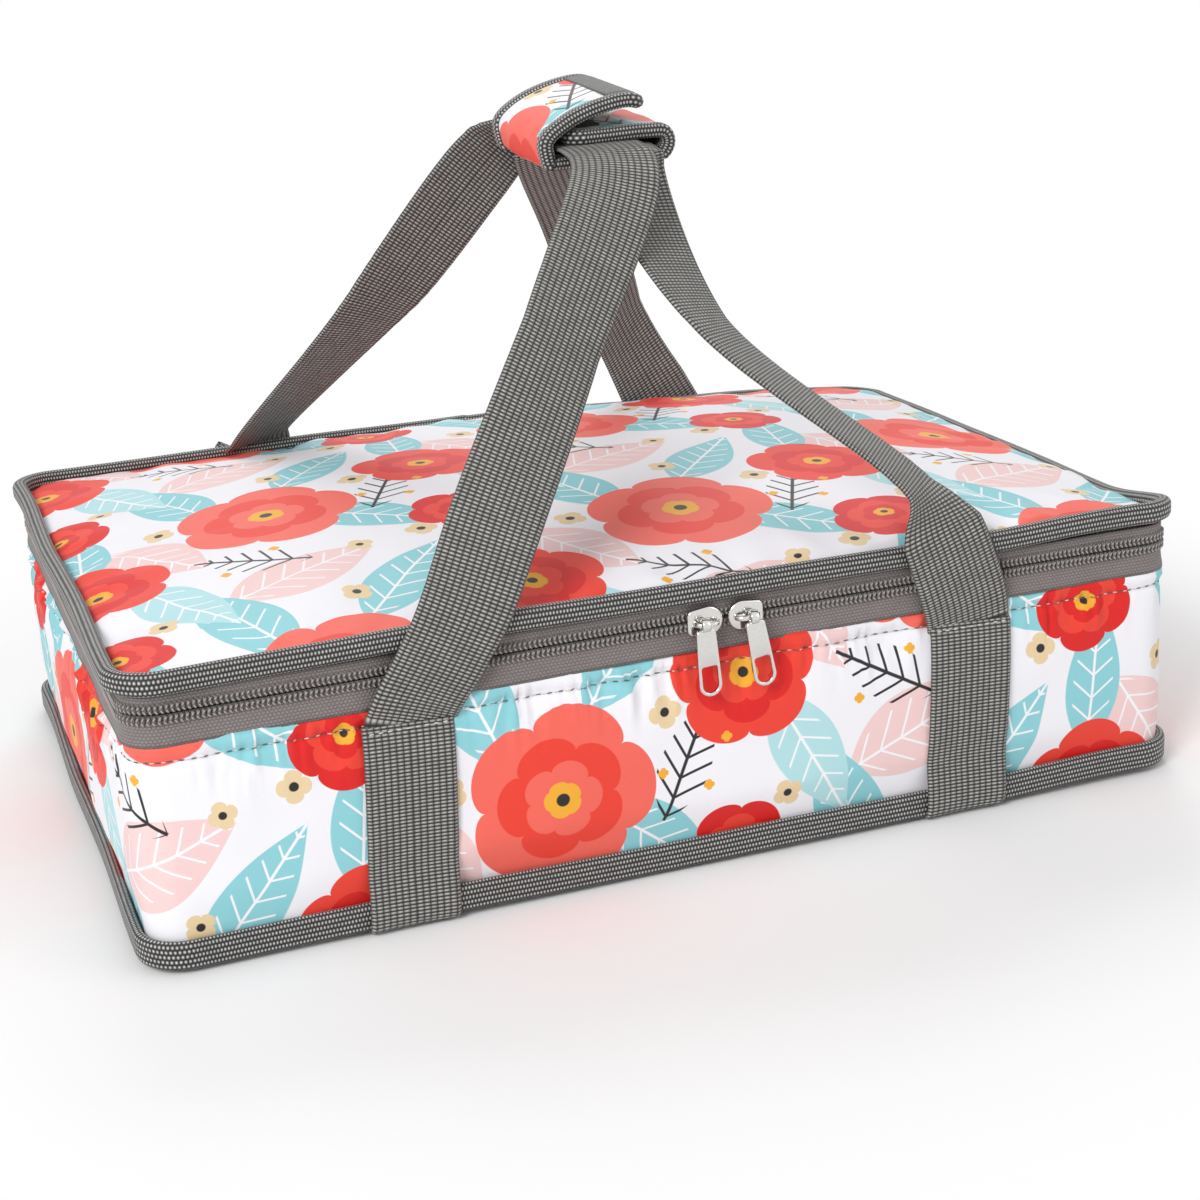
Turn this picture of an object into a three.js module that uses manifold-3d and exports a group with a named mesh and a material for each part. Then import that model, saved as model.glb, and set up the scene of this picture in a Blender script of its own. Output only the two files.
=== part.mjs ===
// Insulated casserole carrier: a padded printed box with a zipped lid, two webbing
// handles sewn round the base, and a padded wrap that holds the handles together.
// Millimetres. +X runs along the long side, +Y to the hinged back, +Z up.
// The origin is on the floor, under the middle of the base.

import * as THREE from 'three';
import { mergeVertices } from 'three/addons/utils/BufferGeometryUtils.js';
import Module from 'manifold-3d';

const wasm = await Module();
wasm.setup();

// Driving dimensions

// Clearance between pieces that touch, and between the two handles inside the wrap
const fit = 0.3;

// Box: outside of the printed walls, and the layers behind them
const boxLength = 412;
const boxWidth = 282;
const wallTop = 88;
const cornerRadius = 14;
const fabricThickness = 1;
const wallFoamThickness = 6;
const wallFoamMargin = 3;
const linerThickness = 0.8;
const boardThickness = 2.5;
const baseFoamThickness = 5;

// Binding tape round the base and the lid
const bindingReach = 4;
const baseBindingHeight = 11;

// Zipper: lower tape, two coil rows, upper tape
const lowerTapeHeight = 6.4;
const upperTapeHeight = 3.4;
const tapeThickness = 1;
const coilRowHeight = 3.7;
const coilThickness = 3;
const coilRowGap = 0.6;

// Lid layers, and how far the padding crowns above the binding
const lidFoamThickness = 5;
const waddingEdge = 0.8;
const lidCrown = 12;
const crownFullness = 3;
const crownRings = 9;
const crownCrowding = 1.6;
const crownTip = 0.04;

// Webbing of the two handles, and where it is sewn to the walls
const webbingWidth = 34;
const webbingThickness = 1.8;
const strapSpacing = 223;
const strapShift = 4.5;
const stitchHeight = 80.5;
const baseFold = 1.2;

// Free legs of the handles. Each leg clears the lid's edge, leans in at a shoulder (rise above
// the lid, in from its anchor, back from the edge), passes a middle point (drop below the grip,
// aside and out from it), enters the wrap at a mouth and turns its face on the way, in degrees.
const legs = {
  leftFront: {
    rise: 33, inward: 40, back: 11, drop: 55, aside: -42, out: 59,
    mouthAside: -4, mouthOut: 17, turns: [-5, 20, 0],
  },
  leftBack: {
    rise: 12, inward: 9.5, back: 7, drop: 75, aside: -66, out: 34,
    mouthAside: -11, mouthOut: 15, turns: [20, 4, 0],
  },
  rightFront: {
    rise: 20, inward: 19, back: 6.5, drop: 58, aside: 15, out: 50,
    mouthAside: 1, mouthOut: 6, turns: [44, 40, 10],
  },
  rightBack: {
    rise: 38.5, inward: 36, back: 1.5, drop: 50, aside: 24, out: 52,
    mouthAside: 0, mouthOut: 8, turns: [30, 0, 0],
  },
};
const tapeLean = 2;
const lidClearRise = 4;
const lidClearGap = 0.7;
const mouthDrop = 9;
const bendReach = 4;
const bendDrop = 1.6;
const lowerLayerOut = 4.5;
const upperLayerOut = 9;
const legStations = 26;

// Grip: middle of the wrap, how long it is, and the webbing's height inside it
const gripX = 17.5;
const gripHeight = 253.5;
const gripLength = 66;
const webbingStagger = 6;
const padThickness = 4;
const gripSide = 1.2;
const outerFoldBulge = 2.6;
const archRise = 14.5;
const archShoulderIn = 6;
const archShoulderFall = 6;
const archCrestBefore = 2;
const archCrestFall = 1.4;
const archCrestAfter = 11;
const archTipFall = 2.4;
const outerFlapShort = 4;
const innerFoldBulge = 4.6;
const innerFlapShort = 5;
const innerFoldIn = 1.4;
const innerFoldFall = 1;
const flapSteps = 16;
const gripBindingWidth = 8;
const gripBindingExtra = 1;
const closureThickness = 0.8;
const closureLength = 40;
const closureWidth = 9;

// Sliders and their pulls
const leftSliderX = 7.2;
const sliderPitch = 16;
const sliderLength = 14;
const sliderHeight = 11.5;
const sliderThickness = 2;
const bridgeBar = 1.4;
const bridgeSpan = 10;
const bridgeStandoff = 2.4;
const pullBore = 1.3;
const pullEyeWall = 1.2;
const pullEyeWidth = 3.4;
const pullAside = 1.6;
const pullLength = 28;
const pullTopWidth = 7.6;
const pullBottomWidth = 9;
const pullThickness = 1.8;
const pullLoopLength = 10.5;
const pullRim = 1.4;

// Segments in a quarter turn of a rounded corner
const cornerSteps = 5;

// Levels worked out from the layers, from the floor up

const halfLength = boxLength / 2;
const halfWidth = boxWidth / 2;
const panelBottom = webbingThickness + fit;
const panelTop = panelBottom + fabricThickness;
const boardBottom = panelTop + fit;
const baseFoamBottom = boardBottom + boardThickness + fit;
const linerBottom = baseFoamBottom + baseFoamThickness + fit;
const baseBindingTop = panelBottom + baseBindingHeight;
const lowerTapeBottom = wallTop + fit;
const lowerCoilBottom = lowerTapeBottom + lowerTapeHeight + fit;
const upperCoilBottom = lowerCoilBottom + coilRowHeight + coilRowGap;
const upperTapeBottom = upperCoilBottom + coilRowHeight + fit;
const lidBottom = upperTapeBottom + upperTapeHeight + fit;
const lidFoamBottom = lidBottom + linerThickness + fit;
const waddingBottom = lidFoamBottom + lidFoamThickness + fit;
const lidPanelEdge = waddingBottom + waddingEdge + fit;
const lidBindingTop = lidPanelEdge + fabricThickness;
const zipMiddle = upperCoilBottom - coilRowGap / 2;

// Distances in from the outer face of the walls
const foamInset = fabricThickness + fit;
const linerInset = foamInset + wallFoamThickness + fit;
const zipEnd = halfWidth - cornerRadius;
const coilProud = (coilThickness - tapeThickness) / 2;

// Where the webbing lies on the walls, outside the bindings and inside the wrap
const wallStrapY = halfWidth + fit;
const edgeStrapY = halfWidth + bindingReach + fit;
const leftStrapX = strapShift - strapSpacing / 2;
const rightStrapX = strapShift + strapSpacing / 2;
const leftWebbingZ = gripHeight + webbingThickness + fit;
const gripHalf = (webbingWidth + webbingStagger) / 2 + gripSide;
const padBottom = gripHeight - webbingThickness / 2 - fit - padThickness;
const padMiddle = padBottom + padThickness / 2;
const gripLeft = gripX - gripHalf;
const gripRight = gripX + gripHalf;
const innerFlapZ = leftWebbingZ + webbingThickness / 2 + fit + (padThickness + gripBindingExtra) / 2;
const archTop = innerFlapZ + archRise;

// Finishes
const finishes = {
  print: { color: 0xf0e6e6, roughness: 0.5, metalness: 0 },
  webbing: { color: 0x5a5956, roughness: 0.8, metalness: 0 },
  tape: { color: 0x8b8482, roughness: 0.8, metalness: 0 },
  coil: { color: 0x4a4846, roughness: 0.45, metalness: 0 },
  foam: { color: 0xe9e7e2, roughness: 0.9, metalness: 0 },
  board: { color: 0xd8d8d4, roughness: 0.6, metalness: 0 },
  foil: { color: 0xc9ccce, roughness: 0.3, metalness: 0.6 },
  closure: { color: 0x3c3b3a, roughness: 0.95, metalness: 0 },
  nickel: { color: 0xc8c8c6, roughness: 0.2, metalness: 1 },
};

// Points of a rounded rectangle centred on the origin, counter-clockwise.
function roundedOutline(halfX, halfY, radius) {
  const points = [];
  const corners = [[1, 1, 0], [-1, 1, 1], [-1, -1, 2], [1, -1, 3]];
  for (const [sideX, sideY, quarter] of corners) {
    for (let step = 0; step <= cornerSteps; step += 1) {
      const angle = (quarter + step / cornerSteps) * Math.PI / 2;
      const x = sideX * (halfX - radius) + radius * Math.cos(angle);
      const y = sideY * (halfY - radius) + radius * Math.sin(angle);
      points.push(new THREE.Vector2(x, y));
    }
  }
  return points;
}

// The box's plan outline, grown outwards (or, when negative, shrunk) by an offset.
function boxOutline(offset) {
  return roundedOutline(halfLength + offset, halfWidth + offset, cornerRadius + offset);
}

// A flat shape stood up from one level to another.
function slab(shape, low, high) {
  const solid = new THREE.ExtrudeGeometry(shape, { depth: high - low, bevelEnabled: false });
  return solid.translate(0, 0, low);
}

// A closed band between two offsets of the box outline.
function ringBand(innerOffset, outerOffset, low, high) {
  const shape = new THREE.Shape(boxOutline(outerOffset));
  shape.holes.push(new THREE.Path(boxOutline(innerOffset)));
  return slab(shape, low, high);
}

// The stretch of the outline round the front, from one end of the zipper to the other.
function frontRun(offset) {
  const outline = boxOutline(offset);
  const quarter = cornerSteps + 1;
  const start = new THREE.Vector2(-halfLength - offset, zipEnd);
  const end = new THREE.Vector2(halfLength + offset, zipEnd);
  return [start, ...outline.slice(2 * quarter), end];
}

// The stretch of the outline round the back, between the ends of the zipper.
function backRun(offset) {
  const outline = boxOutline(offset);
  const quarter = cornerSteps + 1;
  return outline.slice(0, 2 * quarter).map((point) => new THREE.Vector2(point.x, point.y + fit));
}

// A band that follows one of those stretches.
function openBand(run, innerOffset, outerOffset, low, high) {
  const shape = new THREE.Shape([...run(outerOffset), ...run(innerOffset).reverse()]);
  return slab(shape, low, high);
}

// A shape drawn in X and Z, extruded along Y between two places.
function prismAlongY(shape, front, back) {
  const solid = new THREE.ExtrudeGeometry(shape, { depth: back - front, bevelEnabled: false });
  return solid.rotateX(Math.PI / 2).translate(0, back, 0);
}

// A shape drawn in Y and Z, extruded along X between two places.
function prismAlongX(shape, left, right) {
  const solid = new THREE.ExtrudeGeometry(shape, { depth: right - left, bevelEnabled: false });
  const turn = new THREE.Matrix4().makeBasis(
    new THREE.Vector3(0, 1, 0),
    new THREE.Vector3(0, 0, 1),
    new THREE.Vector3(1, 0, 0),
  );
  return solid.applyMatrix4(turn).translate(left, 0, 0);
}

// A flat polygon from pairs of numbers.
function polygon(pairs) {
  return new THREE.Shape(pairs.map(([a, b]) => new THREE.Vector2(a, b)));
}

// One closed solid as a manifold, for cutting and joining.
function toManifold(geometry) {
  const bare = new THREE.BufferGeometry();
  bare.setAttribute('position', geometry.getAttribute('position').clone());
  if (geometry.index) {
    bare.setIndex(geometry.index.clone());
  }
  const merged = mergeVertices(bare, 1e-4);
  return new wasm.Manifold(new wasm.Mesh({
    numProp: 3,
    vertProperties: new Float32Array(merged.getAttribute('position').array),
    triVerts: new Uint32Array(merged.index.array),
  }));
}

// The cut or joined solid as geometry again.
function toGeometry(manifold) {
  const mesh = manifold.getMesh();
  const geometry = new THREE.BufferGeometry();
  geometry.setAttribute('position', new THREE.BufferAttribute(new Float32Array(mesh.vertProperties), 3));
  geometry.setIndex(new THREE.BufferAttribute(new Uint32Array(mesh.triVerts), 1));
  geometry.computeVertexNormals();
  return geometry;
}

function joined(first, ...others) {
  return toGeometry(others.reduce((sum, other) => sum.add(toManifold(other)), toManifold(first)));
}

function cutBy(body, tool) {
  return toGeometry(toManifold(body).subtract(toManifold(tool)));
}

// A solid through matching closed sections, capped at both ends by fans.
function loft(sections) {
  const count = sections[0].length;
  const positions = sections.flat().flatMap((point) => [point.x, point.y, point.z]);
  const index = [];
  for (let ring = 0; ring + 1 < sections.length; ring += 1) {
    for (let side = 0; side < count; side += 1) {
      const next = (side + 1) % count;
      const a = ring * count + side;
      const b = ring * count + next;
      index.push(a, b, b + count, a, b + count, a + count);
    }
  }
  const last = (sections.length - 1) * count;
  for (let side = 1; side + 1 < count; side += 1) {
    index.push(0, side + 1, side);
    index.push(last, last + side, last + side + 1);
  }
  const geometry = new THREE.BufferGeometry();
  geometry.setAttribute('position', new THREE.Float32BufferAttribute(positions, 3));
  geometry.setIndex(index);
  geometry.computeVertexNormals();
  return geometry;
}

// One level line of the crowned lid: the outline drawn in, and lifted as it nears the middle.
function crownRing(share, edgeLevel) {
  const level = edgeLevel + lidCrown * (1 - share ** crownFullness);
  return boxOutline(0).map((point) => new THREE.Vector3(point.x * share, point.y * share, level));
}

// The lid's crowned upper surface as a list of level lines, from the edge to the middle.
function crownRings3d(edgeLevel) {
  const rings = [];
  for (let step = 0; step <= crownRings; step += 1) {
    const along = (step / crownRings) ** crownCrowding;
    rings.push(crownRing(1 - (1 - crownTip) * along, edgeLevel));
  }
  return rings;
}

const carrier = new THREE.Group();

function addPiece(name, geometry, finish) {
  const mesh = new THREE.Mesh(geometry, new THREE.MeshStandardMaterial(finish));
  mesh.name = name;
  carrier.add(mesh);
}

// Box: printed band, base, foam, board, liner and binding

function wallFoamPlan(halfSpan, halfReach) {
  const outer = halfReach - foamInset;
  const inner = outer - wallFoamThickness;
  const outerHalf = halfSpan - cornerRadius;
  const innerHalf = Math.min(outerHalf + wallFoamThickness, halfSpan - linerInset);
  return polygon([[-outerHalf, -outer], [outerHalf, -outer], [innerHalf, -inner], [-innerHalf, -inner]]);
}

function addWallFoam() {
  const top = wallTop - wallFoamMargin;
  const long = wallFoamPlan(halfLength, halfWidth);
  const short = wallFoamPlan(halfWidth, halfLength);
  const walls = [
    ['front_wall_foam', long, 0],
    ['right_wall_foam', short, Math.PI / 2],
    ['back_wall_foam', long, Math.PI],
    ['left_wall_foam', short, -Math.PI / 2],
  ];
  for (const [name, plan, turn] of walls) {
    addPiece(name, slab(plan, boardBottom, top).rotateZ(turn), finishes.foam);
  }
}

function insideSlab(low, high) {
  const shape = new THREE.Shape(roundedOutline(halfLength - linerInset, halfWidth - linerInset, linerInset));
  return slab(shape, low, high);
}

function addBox() {
  const panel = new THREE.Shape(boxOutline(0));
  addPiece('base_outer_panel', slab(panel, panelBottom, panelTop), finishes.webbing);
  addPiece('body_outer_band', ringBand(-fabricThickness, 0, boardBottom, wallTop), finishes.print);
  addPiece('base_board', insideSlab(boardBottom, boardBottom + boardThickness), finishes.board);
  addPiece('base_foam', insideSlab(baseFoamBottom, baseFoamBottom + baseFoamThickness), finishes.foam);
  addWallFoam();

  const cavityRadius = linerInset - linerThickness;
  const cavityX = halfLength - linerInset - linerThickness;
  const cavityY = halfWidth - linerInset - linerThickness;
  const cavity = new THREE.Shape(roundedOutline(cavityX, cavityY, cavityRadius));
  const cavityTool = slab(cavity, linerBottom + linerThickness, wallTop + linerThickness);
  addPiece('liner_tray', cutBy(insideSlab(linerBottom, wallTop), cavityTool), finishes.foil);

  addPiece('base_binding', ringBand(fit, bindingReach, panelBottom, baseBindingTop), finishes.webbing);
}

// Zipper tapes and coils round three sides, and the fabric hinge along the back

function addZipper() {
  const lowerTape = openBand(frontRun, -tapeThickness, 0, lowerTapeBottom, lowerTapeBottom + lowerTapeHeight);
  addPiece('zipper_tape_lower', lowerTape, finishes.tape);

  const coilIn = -tapeThickness - coilProud;
  const lowerCoil = openBand(frontRun, coilIn, coilProud, lowerCoilBottom, lowerCoilBottom + coilRowHeight);
  addPiece('zipper_coil_lower', lowerCoil, finishes.coil);

  const upperCoil = openBand(frontRun, coilIn, coilProud, upperCoilBottom, upperCoilBottom + coilRowHeight);
  addPiece('zipper_coil_upper', upperCoil, finishes.coil);

  const upperTape = openBand(frontRun, -tapeThickness, 0, upperTapeBottom, upperTapeBottom + upperTapeHeight);
  addPiece('zipper_tape_upper', upperTape, finishes.tape);

  const hinge = openBand(backRun, -fabricThickness - fit, -fit, lowerTapeBottom, lidBottom - fit);
  addPiece('lid_hinge_strip', hinge, finishes.print);
}

// Lid: liner, foam sheet, crowned wadding, crowned printed panel and binding

function addLid() {
  const plan = new THREE.Shape(boxOutline(0));
  addPiece('lid_liner', slab(plan, lidBottom, lidBottom + linerThickness), finishes.foil);
  addPiece('lid_foam', slab(plan, lidFoamBottom, lidFoamBottom + lidFoamThickness), finishes.foam);

  const waddingFoot = crownRing(1, waddingBottom);
  addPiece('lid_wadding', loft([waddingFoot, ...crownRings3d(waddingBottom + waddingEdge)]), finishes.foam);

  const underside = crownRings3d(lidPanelEdge).reverse();
  const upperside = crownRings3d(lidPanelEdge + fabricThickness);
  addPiece('lid_outer_panel', loft([...underside, ...upperside]), finishes.print);

  addPiece('lid_binding', ringBand(fit, bindingReach, lidBottom, lidBindingTop), finishes.webbing);
}

// Handles: the sewn length round the base, and the free loop above the stitches

function addSewnStrap(name, centre) {
  const inside = [
    [wallStrapY, stitchHeight],
    [edgeStrapY, baseBindingTop + fit],
    [edgeStrapY, webbingThickness],
  ];
  const outside = [
    [edgeStrapY + webbingThickness - baseFold, 0],
    [edgeStrapY + webbingThickness, baseFold],
    [edgeStrapY + webbingThickness, baseBindingTop + fit],
    [wallStrapY + webbingThickness, stitchHeight],
  ];
  const frontHalf = [...inside].reverse().map(([y, z]) => [-y, z]);
  const frontOutside = [...outside].reverse().map(([y, z]) => [-y, z]);
  const profile = polygon([...frontHalf, ...frontOutside, ...outside, ...inside]);
  const left = centre - webbingWidth / 2;
  addPiece(name, prismAlongX(profile, left, left + webbingWidth), finishes.webbing);
}

// Route of one free leg from its stitches to the middle of the grip, drawn on the +Y side.
function legRoute(leg, anchorX, webbingX, webbingZ, layerOut) {
  const wallY = wallStrapY + webbingThickness / 2;
  const edgeY = edgeStrapY + lidClearGap + webbingThickness / 2;
  const foot = stitchHeight + fit;
  const shoulderX = anchorX - Math.sign(anchorX - webbingX) * leg.inward;
  const shoulderZ = lidBindingTop + leg.rise;
  const lean = (shoulderX - anchorX) / (shoulderZ - foot);
  const leanAt = (height) => anchorX + lean * (height - foot);
  const gripEnd = gripLength / 2 + layerOut;
  return [
    [anchorX, wallY, foot],
    [leanAt(lowerTapeBottom), wallY + tapeLean, lowerTapeBottom],
    [leanAt(lidBottom - lidClearRise), edgeY, lidBottom - lidClearRise],
    [leanAt(lidBindingTop + lidClearRise), edgeY, lidBindingTop + lidClearRise],
    [shoulderX, edgeY - leg.back, shoulderZ],
    [webbingX + leg.aside, gripEnd + leg.out, webbingZ - leg.drop],
    [webbingX + leg.mouthAside, gripEnd + leg.mouthOut, webbingZ - mouthDrop],
    [webbingX, gripEnd + bendReach, webbingZ - bendDrop],
    [webbingX, gripEnd - bendReach, webbingZ],
    [webbingX, gripEnd / 2, webbingZ],
  ];
}

// How far the webbing's face has turned at each point of that route, in radians.
function legTurns(leg) {
  const [shoulder, middle, mouth] = leg.turns.map((turn) => THREE.MathUtils.degToRad(turn));
  return [0, 0, 0, 0, shoulder, middle, mouth, 0, 0, 0];
}

// Flat webbing swept up the front leg, through the wrap and down the back leg. Its width stays as
// level with X as the route allows, apart from each leg's own turns.
function handleLoop(frontLeg, backLeg, anchorX, webbingX, webbingZ, layerOut) {
  const front = legRoute(frontLeg, anchorX, webbingX, webbingZ, layerOut);
  const back = legRoute(backLeg, anchorX, webbingX, webbingZ, layerOut).reverse();
  const points = [
    ...front.map(([x, y, z]) => new THREE.Vector3(x, -y, z)),
    ...back.map(([x, y, z]) => new THREE.Vector3(x, y, z)),
  ];
  const turns = [...legTurns(frontLeg), ...legTurns(backLeg).reverse().map((turn) => -turn)];
  const route = new THREE.CatmullRomCurve3(points, false, 'centripetal');
  const across = new THREE.Vector3(1, 0, 0);
  const corners = [[1, 1], [-1, 1], [-1, -1], [1, -1]];
  const stations = 2 * legStations;
  const sections = [];
  for (let step = 0; step <= stations; step += 1) {
    const along = step / stations;
    const centre = route.getPointAt(along);
    const end = step === 0 || step === stations;
    const rise = new THREE.Vector3(0, 0, step === 0 ? 1 : -1);
    const tangent = end ? rise : route.getTangentAt(along);
    const place = route.getUtoTmapping(along) * (turns.length - 1);
    const before = Math.min(Math.floor(place), turns.length - 2);
    const turn = THREE.MathUtils.lerp(turns[before], turns[before + 1], place - before);
    const side = across.clone().addScaledVector(tangent, -across.dot(tangent)).normalize();
    side.applyAxisAngle(tangent, turn);
    const normal = new THREE.Vector3().crossVectors(tangent, side);
    sections.push(corners.map(([a, b]) => centre.clone()
      .addScaledVector(side, a * webbingWidth / 2)
      .addScaledVector(normal, b * webbingThickness / 2)));
  }
  return loft(sections);
}

function addHandles() {
  addSewnStrap('left_sewn_strap', leftStrapX);
  addSewnStrap('right_sewn_strap', rightStrapX);
  const leftX = gripX - webbingStagger / 2;
  const rightX = gripX + webbingStagger / 2;
  const left = handleLoop(legs.leftFront, legs.leftBack, leftStrapX, leftX, leftWebbingZ, upperLayerOut);
  const right = handleLoop(legs.rightFront, legs.rightBack, rightStrapX, rightX, gripHeight, lowerLayerOut);
  addPiece('left_handle_webbing', left, finishes.webbing);
  addPiece('right_handle_webbing', right, finishes.webbing);
}

// Grip wrap: a padded base panel under the webbing, and two flaps that close over it

// Centre line of a flap in X and Z, from its fold to its free end.
function flapCurve(pairs) {
  return new THREE.SplineCurve(pairs.map(([x, z]) => new THREE.Vector2(x, z)));
}

const outerFlap = flapCurve([
  [gripLeft - fit, padMiddle],
  [gripLeft - outerFoldBulge / 2, padMiddle],
  [gripLeft - outerFoldBulge, padMiddle + padThickness],
  [gripLeft - outerFoldBulge, innerFlapZ],
  [gripLeft + archShoulderIn, archTop - archShoulderFall],
  [gripX - archCrestBefore, archTop - archCrestFall],
  [gripX + archCrestAfter, archTop],
  [gripRight - outerFlapShort, archTop - archTipFall],
]);

const innerFlap = flapCurve([
  [gripRight + fit, padMiddle],
  [gripRight + innerFoldBulge / 2, padMiddle],
  [gripRight + innerFoldBulge, padMiddle + padThickness],
  [gripRight + innerFoldBulge - innerFoldIn, innerFlapZ - innerFoldFall],
  [gripRight - innerFoldBulge, innerFlapZ],
  [gripX, innerFlapZ],
  [gripLeft + innerFlapShort, innerFlapZ],
]);

// A strip of a flap between two shares of its length, moved off its centre line by an offset.
function flapStrip(curve, from, to, offset, thickness, front, back) {
  const steps = Math.max(2, Math.round(flapSteps * (to - from)));
  const inner = [];
  const outer = [];
  for (let step = 0; step <= steps; step += 1) {
    const along = from + (to - from) * step / steps;
    const point = curve.getPointAt(along);
    const tangent = curve.getTangentAt(along);
    const normal = new THREE.Vector2(-tangent.y, tangent.x);
    inner.push(point.clone().addScaledVector(normal, offset - thickness / 2));
    outer.push(point.clone().addScaledVector(normal, offset + thickness / 2));
  }
  return prismAlongY(new THREE.Shape([...inner, ...outer.reverse()]), front, back);
}

// A padded flap, the binding round its three free edges, and its closure strip underneath or on top.
function addFlap(flapName, bindingName, closureName, curve, closureSide) {
  const gripEnd = gripLength / 2;
  const bindingInner = gripEnd - gripBindingWidth;
  const length = curve.getLength();
  const bindingStart = 1 - gripBindingWidth / length;
  const padEnd = bindingStart - fit / length;
  const padHalf = bindingInner - fit;
  const bound = padThickness + gripBindingExtra;
  addPiece(flapName, flapStrip(curve, 0, padEnd, 0, padThickness, -padHalf, padHalf), finishes.print);

  const frontEdge = flapStrip(curve, 0, 1, 0, bound, -gripEnd, -bindingInner);
  const backEdge = flapStrip(curve, 0, 1, 0, bound, bindingInner, gripEnd);
  const freeEdge = flapStrip(curve, bindingStart, 1, 0, bound, -gripEnd, gripEnd);
  addPiece(bindingName, joined(frontEdge, backEdge, freeEdge), finishes.webbing);

  const closureEnd = padEnd - fit / length;
  const closureStart = closureEnd - closureWidth / length;
  const closureOffset = closureSide * (padThickness / 2 + fit + closureThickness / 2);
  const closure = flapStrip(
    curve, closureStart, closureEnd, closureOffset, closureThickness, -closureLength / 2, closureLength / 2,
  );
  addPiece(closureName, closure, finishes.closure);
}

function addGrip() {
  const gripEnd = gripLength / 2;
  const bindingInner = gripEnd - gripBindingWidth;
  const padHalf = bindingInner - fit;
  const panel = polygon([
    [gripLeft, padBottom],
    [gripRight, padBottom],
    [gripRight, padBottom + padThickness],
    [gripLeft, padBottom + padThickness],
  ]);
  addPiece('grip_base_panel', prismAlongY(panel, -padHalf, padHalf), finishes.print);
  addPiece('grip_base_binding_front', prismAlongY(panel, -gripEnd, -bindingInner), finishes.webbing);
  addPiece('grip_base_binding_back', prismAlongY(panel, bindingInner, gripEnd), finishes.webbing);
  addFlap('grip_outer_flap', 'outer_flap_binding', 'hook_strip', outerFlap, -1);
  addFlap('grip_inner_flap', 'inner_flap_binding', 'loop_strip', innerFlap, -1);
}

// Sliders: body with its round nose towards the middle, bridge, and a pull hung near its outer end

function addSlider(side, centre, nose) {
  const face = halfWidth + coilProud + fit;
  const half = sliderLength / 2;
  const rise = sliderHeight / 2;
  const body = new THREE.Shape()
    .moveTo(-half, -rise)
    .lineTo(half - rise, -rise)
    .absarc(half - rise, 0, rise, -Math.PI / 2, Math.PI / 2)
    .lineTo(-half, rise);
  const plate = prismAlongY(body, -sliderThickness / 2, sliderThickness / 2);
  if (nose < 0) {
    plate.rotateY(Math.PI);
  }
  plate.translate(centre, -face - sliderThickness / 2, zipMiddle);
  addPiece(`${side}_slider_body`, plate, finishes.nickel);

  const foot = -face - sliderThickness - fit;
  const barInner = foot - bridgeStandoff;
  const barOuter = barInner - bridgeBar;
  const span = bridgeSpan / 2;
  const bridgePlan = polygon([
    [centre - span, foot],
    [centre - span, barOuter],
    [centre + span, barOuter],
    [centre + span, foot],
    [centre + span - bridgeBar, foot],
    [centre + span - bridgeBar, barInner],
    [centre - span + bridgeBar, barInner],
    [centre - span + bridgeBar, foot],
  ]);
  const bridge = slab(bridgePlan, zipMiddle - bridgeBar / 2, zipMiddle + bridgeBar / 2);
  addPiece(`${side}_slider_bridge`, bridge, finishes.nickel);
  addPull(`${side}_pull_tab`, centre - nose * pullAside, (barInner + barOuter) / 2);
}

function addPull(name, centre, barY) {
  const eyeOuter = pullBore + pullEyeWall;
  const eyeShape = new THREE.Shape().absarc(barY, zipMiddle, eyeOuter, 0, 2 * Math.PI);
  const boreShape = new THREE.Shape().absarc(barY, zipMiddle, pullBore, 0, 2 * Math.PI);
  const eyeHalf = pullEyeWidth / 2;
  const eye = prismAlongX(eyeShape, centre - eyeHalf, centre + eyeHalf);
  const bore = prismAlongX(boreShape, centre - pullEyeWidth, centre + pullEyeWidth);

  const top = zipMiddle - pullBore - pullEyeWall / 2;
  const bottom = zipMiddle - pullLength;
  const topHalf = pullTopWidth / 2;
  const bottomHalf = pullBottomWidth / 2;
  const turnZ = bottom + bottomHalf;
  const tab = new THREE.Shape()
    .moveTo(centre - topHalf, top)
    .lineTo(centre - bottomHalf, turnZ)
    .absarc(centre, turnZ, bottomHalf, Math.PI, 2 * Math.PI)
    .lineTo(centre + topHalf, top);
  const loopHalf = bottomHalf - pullRim;
  const loopTop = bottom + pullRim + pullLoopLength;
  tab.holes.push(new THREE.Path()
    .moveTo(centre - loopHalf, loopTop)
    .lineTo(centre - loopHalf, turnZ)
    .absarc(centre, turnZ, loopHalf, Math.PI, 2 * Math.PI)
    .lineTo(centre + loopHalf, loopTop));
  const plate = prismAlongY(tab, barY - pullThickness / 2, barY + pullThickness / 2);
  addPiece(name, cutBy(joined(eye, plate), bore), finishes.nickel);
}

addBox();
addZipper();
addLid();
addHandles();
addGrip();
addSlider('left', leftSliderX, 1);
addSlider('right', leftSliderX + sliderPitch, -1);

export default carrier;
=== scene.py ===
"""Looks of an insulated casserole carrier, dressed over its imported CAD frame.

Metres, in the CAD frame: +X along the long side, +Y to the hinged back, +Z up.
"""

import logging
import math
from bisect import bisect_right
from collections.abc import Callable, Sequence
from dataclasses import dataclass
from enum import Enum, IntEnum

import bmesh
import bpy
from mathutils import Matrix, Vector, noise


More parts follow.
